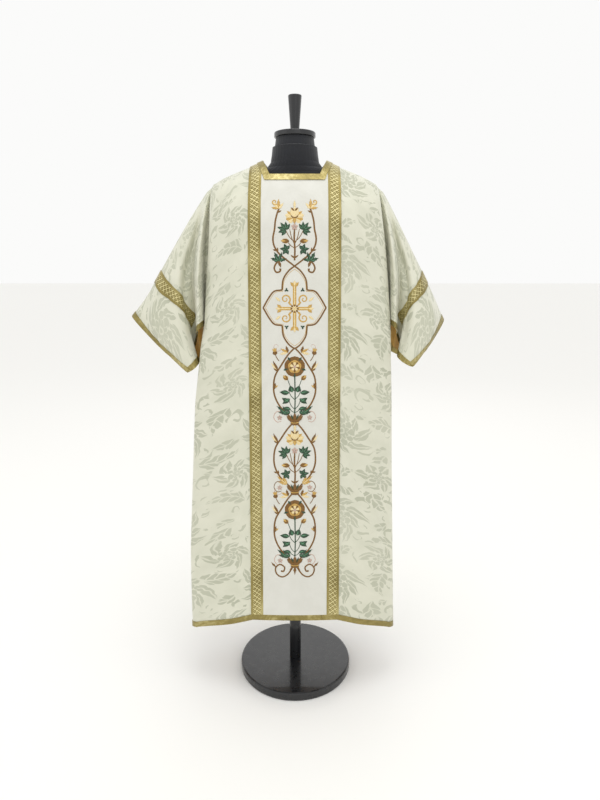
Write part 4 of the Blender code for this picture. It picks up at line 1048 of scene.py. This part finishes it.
# %% Build the sleeves with their bindings and galloons
CUFF_DOWNS = even((-0.985, -0.2, 60), (-0.2, 0.2, 40), (0.2, 0.985, 60))
GALLOON_DOWNS = even((-0.86, -0.2, 70), (-0.2, 0.2, 44), (0.2, 0.86, 70))
ROUND_THE_SLEEVE = (
    # piece, node, places down the sleeve, distances from the cuff, rise and material
    ("cuff_braid_", "cuff_binding_", CUFF_DOWNS, (0.0, BRAID), 0.0, braid),
    ("sleeve_galloon_cloth_", "sleeve_galloon_", GALLOON_DOWNS, GALLOON_FROM_CUFF, GALLOON_RISE, galloon),
)
for side, word in ((-1, "left"), (1, "right")):
    lines, downs = np.meshgrid(SLEEVE_LINES, SLEEVE_DOWNS)
    points, outward, flat = sleeve_sheet(side, lines, downs)
    flip = side > 0
    name = word + "_sleeve_cloth"
    inner = slice(EDGE_ROWS, len(SLEEVE_DOWNS) - EDGE_ROWS)
    piece = sheet(name, points[inner], flat[inner], CLOTH, [damask, lining], flip)
    dress(piece, "sleeve_" + word)
    for end, rows in (("front", slice(0, EDGE_ROWS + 1)), ("back", slice(-EDGE_ROWS - 1, None))):
        edge = points[rows, 1:]
        piece = sheet(f"underarm_braid_{end}_{word}", edge, flat[rows, 1:], CLOTH + TRIM, [braid], flip)
        dress(piece, f"underarm_binding_{end}_{word}")
    for kind, node, places, (near, far), rise, material in ROUND_THE_SLEEVE:
        across = np.linspace(far, near, BAND_COLUMNS)
        lines = np.stack([line_on_cuff(side, offset, places, rise) for offset in across], axis=1)
        downs = np.broadcast_to(places[:, None], lines.shape)
        strip, outward, flat = sleeve_sheet(side, lines, downs)
        strip = strip + outward * LIFT
        middle = distances_down(strip, np.zeros(len(across)))
        flat = np.stack([np.broadcast_to(across - (near + far) / 2, lines.shape), middle], axis=-1)
        piece = sheet(kind + word, strip, flat, TRIM, [material], flip)
        dress(piece, node + word)


# %% [markdown]
# The embroidery of the middle band is satin stitch: each leaf, petal and stem is filled with threads laid
# side by side over a little padding, so it stands up as a low dome. Two kinds of branch, one with a lily
# and one with a rose, climb inside a pair of vines, and a quatrefoil with a gold cross stands between them.
# A shape is drawn once in plain metres, x from the middle and z from the floor, and then laid on the band's
# draped points. Colour alone would leave the stitches as flat as print, so each shape is a mesh of its own.
# %% Lay a shape on the band
# The band's surface over the panel, a dome's height, the step between layers, and how far an edge sinks in.
BAND_TOP, DOME, LAYER, SUNK = LIFT + TRIM / 2, 0.0009, 0.00035, 0.0001
ACROSS_STITCH = np.linspace(-1.0, 1.0, 5)
threads = {}


def on_band(x, z, lift):
    """Points on the front panel's draped cloth at x and z, moved out by lift."""
    points, outward, _ = body[-1]
    column = np.interp(x, COLUMNS, np.arange(len(COLUMNS)))
    first = np.clip(column.astype(int), 0, len(COLUMNS) - 2)
    part = (column - first)[:, None]
    heights = points[:, first, 2] * (1 - part[:, 0]) + points[:, first + 1, 2] * part[:, 0]
    row = np.clip((heights > z).sum(axis=0) - 1, 0, len(points) - 2)
    each = np.arange(len(x))
    upper, lower = heights[row, each], heights[row + 1, each]
    fall = ((upper - z) / (upper - lower))[:, None]

    def between(grid):
        top = grid[row, first] * (1 - part) + grid[row, first + 1] * part
        bottom = grid[row + 1, first] * (1 - part) + grid[row + 1, first + 1] * part
        return top * (1 - fall) + bottom * fall

    return between(points) + between(outward) * lift[:, None]


def stitch(thread, line, widths, layer=0):
    """Fill a shape with one thread, as a low dome: its middle line of x, z places and its half widths."""
    along = np.gradient(line, axis=0)
    along /= np.linalg.norm(along, axis=1, keepdims=True) + 1e-9
    side = np.stack([-along[:, 1], along[:, 0]], axis=1)
    places = line[:, None] + side[:, None] * widths[:, None, None] * ACROSS_STITCH[None, :, None]
    dome = (1 - ACROSS_STITCH ** 2)[None] * np.minimum(DOME, widths * 0.5)[:, None]
    lift = BAND_TOP - SUNK + layer * LAYER + dome
    points = on_band(places[..., 0].ravel(), places[..., 1].ravel(), lift.ravel()).reshape(lift.shape + (3,))
    run = np.append(0.0, np.linalg.norm(np.diff(line, axis=0), axis=1).cumsum())
    flat = np.stack([widths[:, None] * ACROSS_STITCH[None], np.broadcast_to(run[:, None], lift.shape)],
                    axis=-1)
    threads.setdefault(thread, []).append((points, flat))


print("a shape is", len(ACROSS_STITCH), "points wide and up to", 1000 * DOME, "mm high")


# %% Stems, leaves, curls and whorls
# No shape is narrower than this half width at its ends, so that no face closes up to nothing.
NARROWEST = 0.0002
# Points along a leaf and a curl, how deep a lobed edge is notched, where a stem tapers, and a vine's width.
LEAF_POINTS, CURL_POINTS, NOTCH, TAPERS_AT = 13, 26, 0.38, (0, 0.15, 0.85, 1)
VINE = 0.0046


def smooth(points, parts=6):
    """A smooth line through a few places."""
    points = np.array(points, float)
    ends = np.concatenate([2 * points[:1] - points[1:2], points, 2 * points[-1:] - points[-2:-1]])
    f = np.linspace(0, 1, parts, endpoint=False)[:, None]
    runs = [through(*ends[i:i + 4], f) for i in range(len(points) - 1)]
    return np.concatenate(runs + [points[-1:]])


def stem(thread, points, width, ends=(1.0, 1.0), layer=0):
    """A line of stitches through a few places, narrowed towards its ends."""
    line = smooth(points)
    t = np.linspace(0, 1, len(line))
    taper = np.interp(t, TAPERS_AT, (ends[0], 1, 1, ends[1]))
    stitch(thread, line, width / 2 * taper, layer)


def leaf_shape(thread, base, turn, length, width, bow=0.0, lobes=0, layer=0, blunt=False):
    """A leaf or petal: from its base it runs length in the direction turn, and bows to one side. A blunt one
    has a broad round tip."""
    t = np.linspace(0, 1, LEAF_POINTS)
    ahead = np.array([math.cos(turn), math.sin(turn)])
    aside = np.array([-math.sin(turn), math.cos(turn)])
    bowed = bow * length * np.sin(np.pi * t / 2) ** 2
    line = np.array(base) + np.outer(t * length, ahead) + np.outer(bowed, aside)
    # A blunt leaf is widest near its tip, and a pointed one near its base.
    profile = np.sin(np.pi * t ** (1.6 if blunt else 0.8)) ** (0.7 if blunt else 1.0)
    profile = profile * (1 - NOTCH * np.abs(np.sin(np.pi * lobes * t)) * (lobes > 0))
    stitch(thread, line, np.maximum(width / 2 * profile, NARROWEST), layer)


def curl(thread, middle, start, turns, size, width, layer=0):
    """A spiral of stitches that winds in to its middle; turns below 0 wind the other way."""
    t = np.linspace(0, 1, CURL_POINTS)
    angle, radius = start + turns * math.tau * t, size * (1 - 0.85 * t)
    line = np.array(middle) + np.stack([radius * np.cos(angle), radius * np.sin(angle)], axis=1)
    stitch(thread, line, width / 2 * (1.1 - 0.5 * t), layer)


def whorl(thread, middle, count, inner, length, width, start=0.0, layer=0):
    """Petals set round a middle."""
    for k in range(count):
        turn = start + math.tau * k / count
        base = (middle[0] + inner * math.cos(turn), middle[1] + inner * math.sin(turn))
        leaf_shape(thread, base, turn, length, width, layer=layer)


print("shapes: stem, leaf, curl and whorl")

# %% [markdown]
# Each unit of the design is framed by a pair of brown vines that leave the middle, swell out and meet again
# or end in leaf heads. Green and gold leaves stand where the vines cross. Every motif is a function of its
# height on the band, and draws its right half and the mirror image of it together, as an embroiderer pricks
# a folded pattern.
# %% Vines and the leaves on them
UP = math.pi / 2


def mirrored(side, turn):
    """A direction for the right side, or its mirror image for the left."""
    return turn if side > 0 else math.pi - turn


def vines(z, height, closed, inner_leaves):
    """The pair of vines round a branch: they leave the middle and swell out. Closed ones meet again above,
    and open ones end apart."""
    shape = ((0.0, 0.0), (0.019, 0.10), (0.038, 0.21), (0.050, 0.34), (0.053, 0.47), (0.049, 0.62))
    if closed:
        shape += ((0.034, 0.76), (0.017, 0.90), (0.0, 1.0))
    else:
        shape += ((0.047, 0.76), (0.042, 0.90), (0.038, 0.97))
    for side in (-1, 1):
        stem("brown", [(side * x, z + height * up) for x, up in shape], VINE, (0.9, 0.9))
        if closed:
            base = (side * 0.043, z + height * 0.69)
            leaf_shape("cream", base, mirrored(side, 1.05), 0.026, 0.0085, bow=-side * 0.15, lobes=2)
            leaf_shape("brown", base, mirrored(side, 1.35), 0.027, 0.0066, bow=-side * 0.18, layer=1)
            leaf_shape("brown", base, mirrored(side, 0.15), 0.0110, 0.0044, bow=side * 0.3, layer=1)
        else:
            leaf_shape("brown", (side * 0.042, z + height * 0.90), mirrored(side, 2.7), 0.0110, 0.0044,
                       layer=1)
        if inner_leaves:
            leaf_shape("brown", (side * 0.051, z + height * 0.44), mirrored(side, 1.95), 0.016, 0.0056,
                       bow=-side * 0.2, layer=1)
            leaf_shape("gold", (side * 0.050, z + height * 0.46), mirrored(side, 2.5), 0.010, 0.0046, layer=1)
        else:
            leaf_shape("brown", (side * 0.044, z + height * 0.26), mirrored(side, 0.3), 0.0100, 0.0044,
                       layer=1)
            leaf_shape("brown", (side * 0.042, z + height * 0.24), mirrored(side, 1.6), 0.0110, 0.0044,
                       layer=1)


def fingers(thread, tip_thread, base, turn, count, spread, length, width):
    """Leaflets that fan out from one point, the middle one longest, with a lighter edge down each."""
    for k in range(count):
        off = k - (count - 1) / 2
        reach = length * (1 - 0.10 * abs(off))
        leaf_shape(thread, base, turn + off * spread, reach, width, layer=1)
        leaf_shape(tip_thread, base, turn + off * spread + 0.10, reach * 0.92, width * 0.30, layer=2)


def acanthus(z):
    """Two cut leaves that stand on the vines near their crossing, each with a hooked scroll below it."""
    hook = ((0.021, 0.012), (0.034, 0.010), (0.045, 0.003), (0.050, -0.009), (0.045, -0.019),
            (0.036, -0.017), (0.035, -0.010))
    for side in (-1, 1):
        base = (side * 0.039, z + 0.008)
        stem("brown", [(side * x, z + up) for x, up in hook], VINE, (0.6, 1.3))
        for turn, length, width in ((0.10, 0.021, 0.0105), (0.85, 0.024, 0.0125), (1.65, 0.023, 0.0120),
                                    (2.55, 0.020, 0.0105)):
            leaf_shape("green_dark", base, mirrored(side, turn), length, width, bow=side * 0.25, lobes=3,
                       layer=1)
            leaf_shape("green_light", base, mirrored(side, turn + 0.15), length * 0.8, 0.0032, layer=2)
        leaf_shape("brown", base, mirrored(side, -1.9), 0.016, 0.0066, layer=2)


def long_leaves(z, thread, tip_thread, curl_thread):
    """A pair of long cut leaves over a crown, with a thin curl round a floret below each."""
    for side in (-1, 1):
        base = (side * 0.019, z + 0.012)
        for turn, length, width in ((0.55, 0.034, 0.0105), (0.95, 0.024, 0.0085), (0.12, 0.024, 0.0080)):
            leaf_shape(thread, base, mirrored(side, turn), length, width, bow=side * 0.12, lobes=4, layer=1)
            leaf_shape(tip_thread, base, mirrored(side, turn + 0.10), length * 0.85, width * 0.30, layer=2)
        stem(curl_thread, [(side * 0.026, z + 0.020), (side * 0.046, z + 0.018), (side * 0.053, z + 0.004),
                           (side * 0.045, z - 0.008), (side * 0.034, z - 0.006)], 0.0022, (0.5, 0.8))
        whorl("rose_grey", (side * 0.038, z + 0.003), 5, 0.001, 0.0062, 0.0044, UP, layer=1)


def crown(z):
    """The brown crown that ties the vines where they cross: a band, three points and two small leaves."""
    for x, turn, length in ((-0.009, 2.35, 0.019), (0.0, UP, 0.021), (0.009, math.pi - 2.35, 0.019)):
        leaf_shape("brown", (x * 0.8, z + 0.001), turn, length, 0.0090, layer=3)
    for side in (-1, 1):
        leaf_shape("green_dark", (side * 0.003, z + 0.004), mirrored(side, 1.1), 0.016, 0.0042, layer=2)
    stem("brown", [(-0.0115, z + 0.002), (0.0, z + 0.0005), (0.0115, z + 0.002)], 0.0066, (0.8, 0.8), layer=4)
    stem("brown", [(-0.0100, z - 0.0065), (0.0, z - 0.0075), (0.0100, z - 0.0065)], 0.0058, (0.8, 0.8),
         layer=4)
    stem("gold", [(-0.0105, z - 0.0028), (0.0, z - 0.0042), (0.0105, z - 0.0028)], 0.0022, layer=5)


print("motifs on the vines: acanthus, long leaves and crown")

# %% [markdown]
# The first kind of branch bears a lily. Its brown stem sends out forked buds and fingers of green leaflets,
# and the flower opens in cream and gold petals with a curved brown bar across its throat. Petals lie in
# layers, so that the near ones stand over the far ones as real padding does.
# %% The lily branch
def lily_stem(z, height):
    """The brown stem of a lily, with its ivy leaves, forked buds and fingered leaves."""
    line = ((0.0, 0.0), (0.0008, 0.3), (-0.0008, 0.6), (0.0, 0.90))
    stem("brown", [(x, z + height * up) for x, up in line], VINE, (1.0, 0.5))
    for side in (-1, 1):
        leaf_shape("brown", (0.0, z + height * 0.06), mirrored(side, 0.9), 0.013, 0.0046, bow=-side * 0.2)
        for low, x, high in ((0.34, 0.016, 0.50), (0.44, 0.012, 0.86), (0.50, 0.022, 0.84)):
            stem("brown", [(0.0, z + height * low), (side * x * 0.6, z + height * (low * 0.55 + high * 0.45)),
                           (side * x, z + height * high)], 0.0022, (1.0, 0.7))
        fingers("green_dark", "green_light", (side * 0.020, z + height * 0.30), mirrored(side, 0.15), 5, 1.05,
                0.0165, 0.0084)
        bud = (side * 0.013, z + height * 0.53)
        leaf_shape("gold", bud, mirrored(side, 0.05), 0.0210, 0.0120, layer=1)
        leaf_shape("brown", bud, mirrored(side, -0.20), 0.0170, 0.0058, layer=2)
        leaf_shape("brown", bud, mirrored(side, 0.30), 0.0170, 0.0058, layer=2)
        fingers("green_dark", "green_light", (side * 0.021, z + height * 0.84), mirrored(side, 0.62), 6, 0.62,
                0.0235, 0.0090)
    whorl("rose_grey", (0.0, z + height * 0.92), 5, 0.001, 0.0080, 0.0056, UP, layer=2)


def lily(z, size):
    """The open lily at the head of a branch: cream petals, gold ones before them, and a curved brown bar."""
    for turn, length, width, thread, layer in ((-1.0, 0.017, 0.0110, "cream", 0),
                                               (-0.45, 0.019, 0.0110, "gold", 0),
                                               (0.05, 0.021, 0.0110, "cream", 1),
                                               (0.50, 0.022, 0.0105, "gold", 0),
                                               (1.00, 0.022, 0.0105, "cream", 2)):
        for side in (-1, 1):
            leaf_shape(thread, (side * 0.001, z), mirrored(side, turn), length * size, width * size,
                       bow=side * 0.20, layer=layer, blunt=turn < 0.2)
    leaf_shape("cream", (0.0, z - 0.006), UP, 0.032 * size, 0.0150 * size, layer=3)
    leaf_shape("cream", (0.0, z + 0.022 * size), UP, 0.017 * size, 0.0056 * size, layer=3)
    leaf_shape("gold", (0.0, z - 0.014 * size), UP, 0.018 * size, 0.0070 * size, layer=4)
    stem("brown",
         [(-0.0085 * size, z + 0.005), (-0.004 * size, z), (0.004 * size, z), (0.0085 * size, z + 0.005)],
         0.0026, (0.4, 0.4), layer=6)
    for side in (-1, 1):
        leaf_shape("brown", (0.0, z + 0.015 * size), mirrored(side, 0.40), 0.0110 * size, 0.0042,
                   bow=side * 0.3, layer=5)


def leaf_heads(z, x):
    """A pair of curled leaf heads, cream with gold edges, over the vines' upper ends."""
    for side in (-1, 1):
        base = (side * x, z)
        for turn, length, width, thread in ((2.6, 0.019, 0.0085, "cream"), (1.9, 0.024, 0.0100, "gold"),
                                            (1.2, 0.023, 0.0095, "cream"), (0.5, 0.017, 0.0080, "gold")):
            leaf_shape(thread, base, mirrored(side, turn), length, width, bow=-side * 0.28, lobes=3, layer=1)
        curl("gold", (side * (x + 0.009), z + 0.017), mirrored(side, -2.4), 1.1 * side, 0.0075, 0.0028,
             layer=2)


print("lily branch: a lily, its stem and a pair of leaf heads")


# %% [markdown]
# The second kind of branch bears a round rose on a green stem, with buds, round and pointed leaves, and a
# pair of thistles above it. The rose is four rings of petals laid one over the other, from brown outside to
# cream inside.
# %% The rose branch
def rose(z, size):
    """A round rose: brown outer petals, gold ones over them, a cream star and a pale heart."""
    middle = (0.0, z)
    whorl("green_dark", middle, 5, 0.016 * size, 0.011 * size, 0.007 * size, UP + math.pi / 5)
    for layer, (count, inner, length, width, thread, lead) in enumerate((
            (5, 0.0035, 0.0205, 0.0270, "brown", 0.0), (5, 0.0030, 0.0130, 0.0160, "gold", 0.0),
            (5, 0.0010, 0.0115, 0.0070, "brown", 0.5), (5, 0.0010, 0.0095, 0.0080, "cream", 0.0)), 1):
        for k in range(count):
            turn = UP + math.tau * (k + lead) / count
            base = (inner * size * math.cos(turn), z + inner * size * math.sin(turn))
            leaf_shape(thread, base, turn, length * size, width * size, layer=layer, blunt=True)
    whorl("rose_grey", middle, 6, 0.000, 0.0042 * size, 0.0036 * size, layer=5)


def rose_stem(z, height):
    """The green stem of a rose, with its buds, round leaves and pointed leaves."""
    stem("green_dark", [(0.0, z), (0.0010, z + height * 0.4), (0.0, z + height)], 0.0034)
    for side in (-1, 1):
        for low, x, high in ((0.55, 0.018, 0.84), (0.34, 0.016, 0.58), (0.10, 0.015, 0.34),
                             (0.02, 0.013, 0.12)):
            stem("green_dark", [(0.0, z + height * low),
                                (side * x * 0.6, z + height * (low * 0.6 + high * 0.4)),
                                (side * x, z + height * high)], 0.0021, (1.0, 0.7))
        bud = (side * 0.017, z + height * 0.82)
        leaf_shape("gold", bud, mirrored(side, 0.75), 0.0165, 0.0120, layer=1)
        leaf_shape("brown", bud, mirrored(side, 0.45), 0.0140, 0.0048, layer=2)
        leaf_shape("brown", bud, mirrored(side, 1.05), 0.0140, 0.0048, layer=2)
        for x, up, turn, length, width in ((0.006, 0.52, 1.25, 0.018, 0.0140),
                                           (0.014, 0.50, 0.10, 0.024, 0.0125),
                                           (0.012, 0.36, -0.60, 0.023, 0.0115),
                                           (0.015, 0.28, 0.55, 0.020, 0.0110),
                                           (0.010, 0.10, 0.20, 0.021, 0.0110),
                                           (0.012, 0.06, -0.75, 0.016, 0.0095)):
            base = (side * x, z + height * up)
            leaf_shape("green_dark", base, mirrored(side, turn), length, width, layer=1)
            leaf_shape("green_light", base, mirrored(side, turn + 0.12), length * 0.8, width * 0.34, layer=2)


def thistles(z):
    """A pair of thistle buds, with curled gold leaves between them and thin grey curls."""
    for side in (-1, 1):
        base = (side * 0.048, z)
        stem("brown", [(side * 0.039, z - 0.015), (side * 0.044, z - 0.008), base], 0.0024)
        leaf_shape("brown", base, mirrored(side, 1.35), 0.0130, 0.0120, layer=1)
        for turn in (0.85, 1.35, 1.85):
            leaf_shape("gold", (base[0] + side * 0.001, z + 0.008), mirrored(side, turn), 0.0110, 0.0045,
                       layer=2)
        for turn, length, thread in ((1.6, 0.018, "brown"), (0.8, 0.020, "gold"), (0.1, 0.021, "cream")):
            leaf_shape(thread, (side * 0.017, z + 0.006), mirrored(side, turn), length, 0.0085,
                       bow=-side * 0.25, lobes=3, layer=1)
        curl("rose_grey", (side * 0.044, z + 0.021), mirrored(side, -2.6), 1.0 * side, 0.0125, 0.0016)


print("rose branch: a rose, its stem and a pair of thistles")

# %% [markdown]
# Between the branches stands a barbed quatrefoil, a frame of four lobes with a point between each two. It
# holds a plain gold cross with split ends, a rosette and scrolls. One arc and one lobe are drawn, and
# turned about both axes for the rest.
# %% The quatrefoil with its cross
def quatrefoil(z):
    """A barbed quatrefoil of brown stitches with a thin gold line inside it."""
    corner = ((0.000, 0.103), (0.015, 0.091), (0.028, 0.070), (0.031, 0.044))
    lobe = ((0.031, 0.044), (0.050, 0.041), (0.063, 0.026), (0.078, 0.0))
    for thread, width, scale in (("brown", 0.0044, 1.0), ("gold", 0.0014, 0.93)):
        for side in (-1, 1):
            for up in (-1, 1):
                for arc in (corner, lobe):
                    stem(thread, [(side * x * scale, z + up * h * scale) for x, h in arc], width)


def gold_cross(z):
    """A plain cross with split ends, a rosette on its middle and a scroll in each quarter."""
    for turn, length in ((0, 0.036), (UP, 0.058), (math.pi, 0.036), (-UP, 0.048)):
        ahead = np.array([math.cos(turn), math.sin(turn)])
        tip = ahead * length + (0, z)
        arm = [(0.0, z), ahead * length / 2 + (0, z), tip]
        stem("gold", arm, 0.0095)
        stem("cream", arm, 0.0035, layer=1)
        for lean in (-0.8, 0.0, 0.8):
            thread = "cream" if lean == 0 else "gold"
            leaf_shape(thread, tip - ahead * 0.003, turn + lean, 0.0145, 0.0085, layer=1)
    for side in (-1, 1):
        for up in (-1, 1):
            curl("gold", (side * 0.0225, z + up * 0.0235), mirrored(side, up * -2.2), -up * 1.35 * side,
                 0.0125, 0.0040)
            leaf_shape("gold", (side * 0.007, z + up * 0.007), mirrored(side, up * 0.8), 0.0130, 0.0055)
            leaf_shape("cream", (side * 0.035, z + up * 0.019), mirrored(side, up * 0.3), 0.0150, 0.0060,
                       bow=side * up * 0.3, layer=1)
            whorl("green_dark", (side * 0.020, z + up * 0.046), 3, 0.0, 0.0060, 0.0042, up * UP, layer=1)
    whorl("brown", (0.0, z), 8, 0.001, 0.0110, 0.0062, layer=2)
    whorl("cream", (0.0, z), 8, 0.001, 0.0074, 0.0048, math.pi / 8, layer=3)


def foot_scroll(z):
    """The pair of scrolls that ends the design."""
    scroll_line = ((0.0, 0.002), (0.009, -0.016), (0.020, -0.031), (0.034, -0.037), (0.047, -0.029),
                   (0.050, -0.013), (0.039, -0.003), (0.027, -0.010), (0.029, -0.021), (0.036, -0.021))
    for side in (-1, 1):
        stem("brown", [(side * x, z + up) for x, up in scroll_line], 0.0042, (1.0, 1.3))
        leaf_shape("brown", (side * 0.049, z - 0.012), mirrored(side, 1.2), 0.019, 0.0070, bow=-side * 0.3,
                   lobes=2)
        leaf_shape("brown", (side * 0.006, z - 0.010), mirrored(side, -1.0), 0.015, 0.0060)
    leaf_shape("brown", (0.0, z - 0.006), -UP, 0.026, 0.0095, lobes=2)


print("frame, cross and foot scroll")

# %% [markdown]
# The design climbs the band from the foot scroll: rose, lily, rose, the quatrefoil, then an open lily under
# the neckline. Each row below gives a unit's foot over the floor and its height, and a crown ties each
# crossing.
# %% Draw the design
LILY_UNITS = ((1.141, 0.161, False), (0.567, 0.183, True))
ROSE_UNITS = ((0.750, 0.188), (0.3705, 0.1965))
CROWNS, CROSS_Z, FOOT_Z = (0.750, 0.567, 0.3705), 1.038, 0.372
OPEN_VINE, LILY_SIZE = 0.90, 1.06
for z, height, closed in LILY_UNITS:
    vine_height = height if closed else height * OPEN_VINE
    vines(z, vine_height, closed, inner_leaves=False)
    lily_stem(z + 0.014, height * 0.55)
    lily(z + height * 0.76 - 0.004, LILY_SIZE)
    if not closed:
        leaf_heads(z + vine_height * 0.96, 0.040)
acanthus(LILY_UNITS[0][0] + 0.004)
long_leaves(LILY_UNITS[1][0] + 0.006, "gold", "cream", "brown")
for z, height in ROSE_UNITS:
    vines(z, height, True, inner_leaves=True)
    rose_stem(z + 0.020, height * 0.56)
    rose(z + height * 0.745, 1.10)
    thistles(z + height * 0.90)
    long_leaves(z + 0.006, "green_dark", "green_light", "rose_grey")
for z in CROWNS:
    crown(z)
quatrefoil(CROSS_Z)
gold_cross(CROSS_Z - 0.002)
foot_scroll(FOOT_Z)
print({thread: len(patches) for thread, patches in threads.items()})

# %% [markdown]
# Embroidery silk lies as parallel glossy threads across each shape. Real threads are 0.4 mm apart, too fine
# to show from here, so they are drawn at 0.9 mm. Each colour is one piece: its shapes are made one by one
# as small grids and then joined.
# %% The thread's material
# Silk floss gleams along its threads and darkens between them, and the colour paints that in: a painted gleam
# on each thread and painted shade between them. The bump follows the same fine waves.
STITCH, STITCH_SLANT = 0.0009, 0.45
# Each pair is one thread's light and dark: the fine waves move between them as painted gleam and shade, plus a
# random drift.
THREAD_COLOURS = {
    "brown": ("8C6220", "5C3C0C"), "gold": ("DDB765", "AE8438"), "cream": ("F3E4B8", "DFC486"),
    "green_dark": ("2C5234", "192F1E"), "green_light": ("5F9470", "41704F"), "rose_grey": ("D9BBA6", "A98E86"),
}


def thread_material(name, light, dark):
    """Glossy parallel threads that run across each shape."""
    material, tree, shader = new_material(name)
    cloth_map = add(tree, "UVMap", {}, uv_map="cloth")
    waves = (STITCH_SLANT * math.tau / STITCH, math.tau / STITCH, 0.0)
    run = add(tree, "VectorMath", (cloth_map, waves), output=1, operation="DOT_PRODUCT")
    wave = add(tree, "Math", (add(tree, "Math", (run,), operation="SINE"), 0.5, 0.5),
               operation="MULTIPLY_ADD")
    drift = add(tree, "TexNoise", {"Vector": cloth_map, "Scale": 220.0, "Detail": 2.0})
    painted_gleam_and_tone = add(tree, "Math", (wave, 0.35, drift), operation="MULTIPLY_ADD")
    painted_gleam_and_tone = add(tree, "MapRange", (painted_gleam_and_tone, 0.35, 1.0, 0.0, 1.0))
    tint = add(tree, "Mix", {"Factor": painted_gleam_and_tone, 6: colour(dark), 7: colour(light)}, output=2, data_type="RGBA")
    tree.links.new(tint, shader.inputs["Base Color"])
    tree.links.new(add(tree, "MapRange", (drift, 0.3, 0.7, 0.36, 0.5)), shader.inputs["Roughness"])
    tree.links.new(add(tree, "Bump", {"Height": wave, "Strength": 0.5, "Distance": 0.0004}),
                   shader.inputs["Normal"])
    return material


print("threads:", list(THREAD_COLOURS))


# %% Make each shape and join them
def patch(points, flat):
    """One small grid through a shape's points."""
    down, across = points.shape[0] - 1, points.shape[1] - 1
    bpy.ops.mesh.primitive_grid_add(x_subdivisions=across, y_subdivisions=down, size=1)
    piece = bpy.context.object
    mesh = piece.data
    mesh.vertices.foreach_set("co", points.reshape(-1))
    corner_vertex = np.empty(len(mesh.loops), int)
    mesh.loops.foreach_get("vertex_index", corner_vertex)
    mesh.uv_layers.active.name = "cloth"
    mesh.uv_layers["cloth"].data.foreach_set("uv", flat.reshape(-1, 2)[corner_vertex].reshape(-1))
    toward_front = sum(face.normal.y * face.area for face in mesh.polygons)
    if toward_front > 0:
        mesh.flip_normals()
    return piece


for thread, shapes in threads.items():
    bpy.ops.object.select_all(action="DESELECT")
    pieces = [patch(points, flat) for points, flat in shapes]
    for piece in pieces:
        piece.select_set(True)
    bpy.context.view_layer.objects.active = pieces[0]
    bpy.ops.object.join()
    piece = bpy.context.object
    piece.name = "embroidery_" + thread
    piece.data.materials.append(thread_material(f"satin_stitch_{thread}", *THREAD_COLOURS[thread]))
    bpy.ops.object.shade_smooth()
    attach(piece, "root")
    print(piece.name, len(piece.data.polygons), "faces")
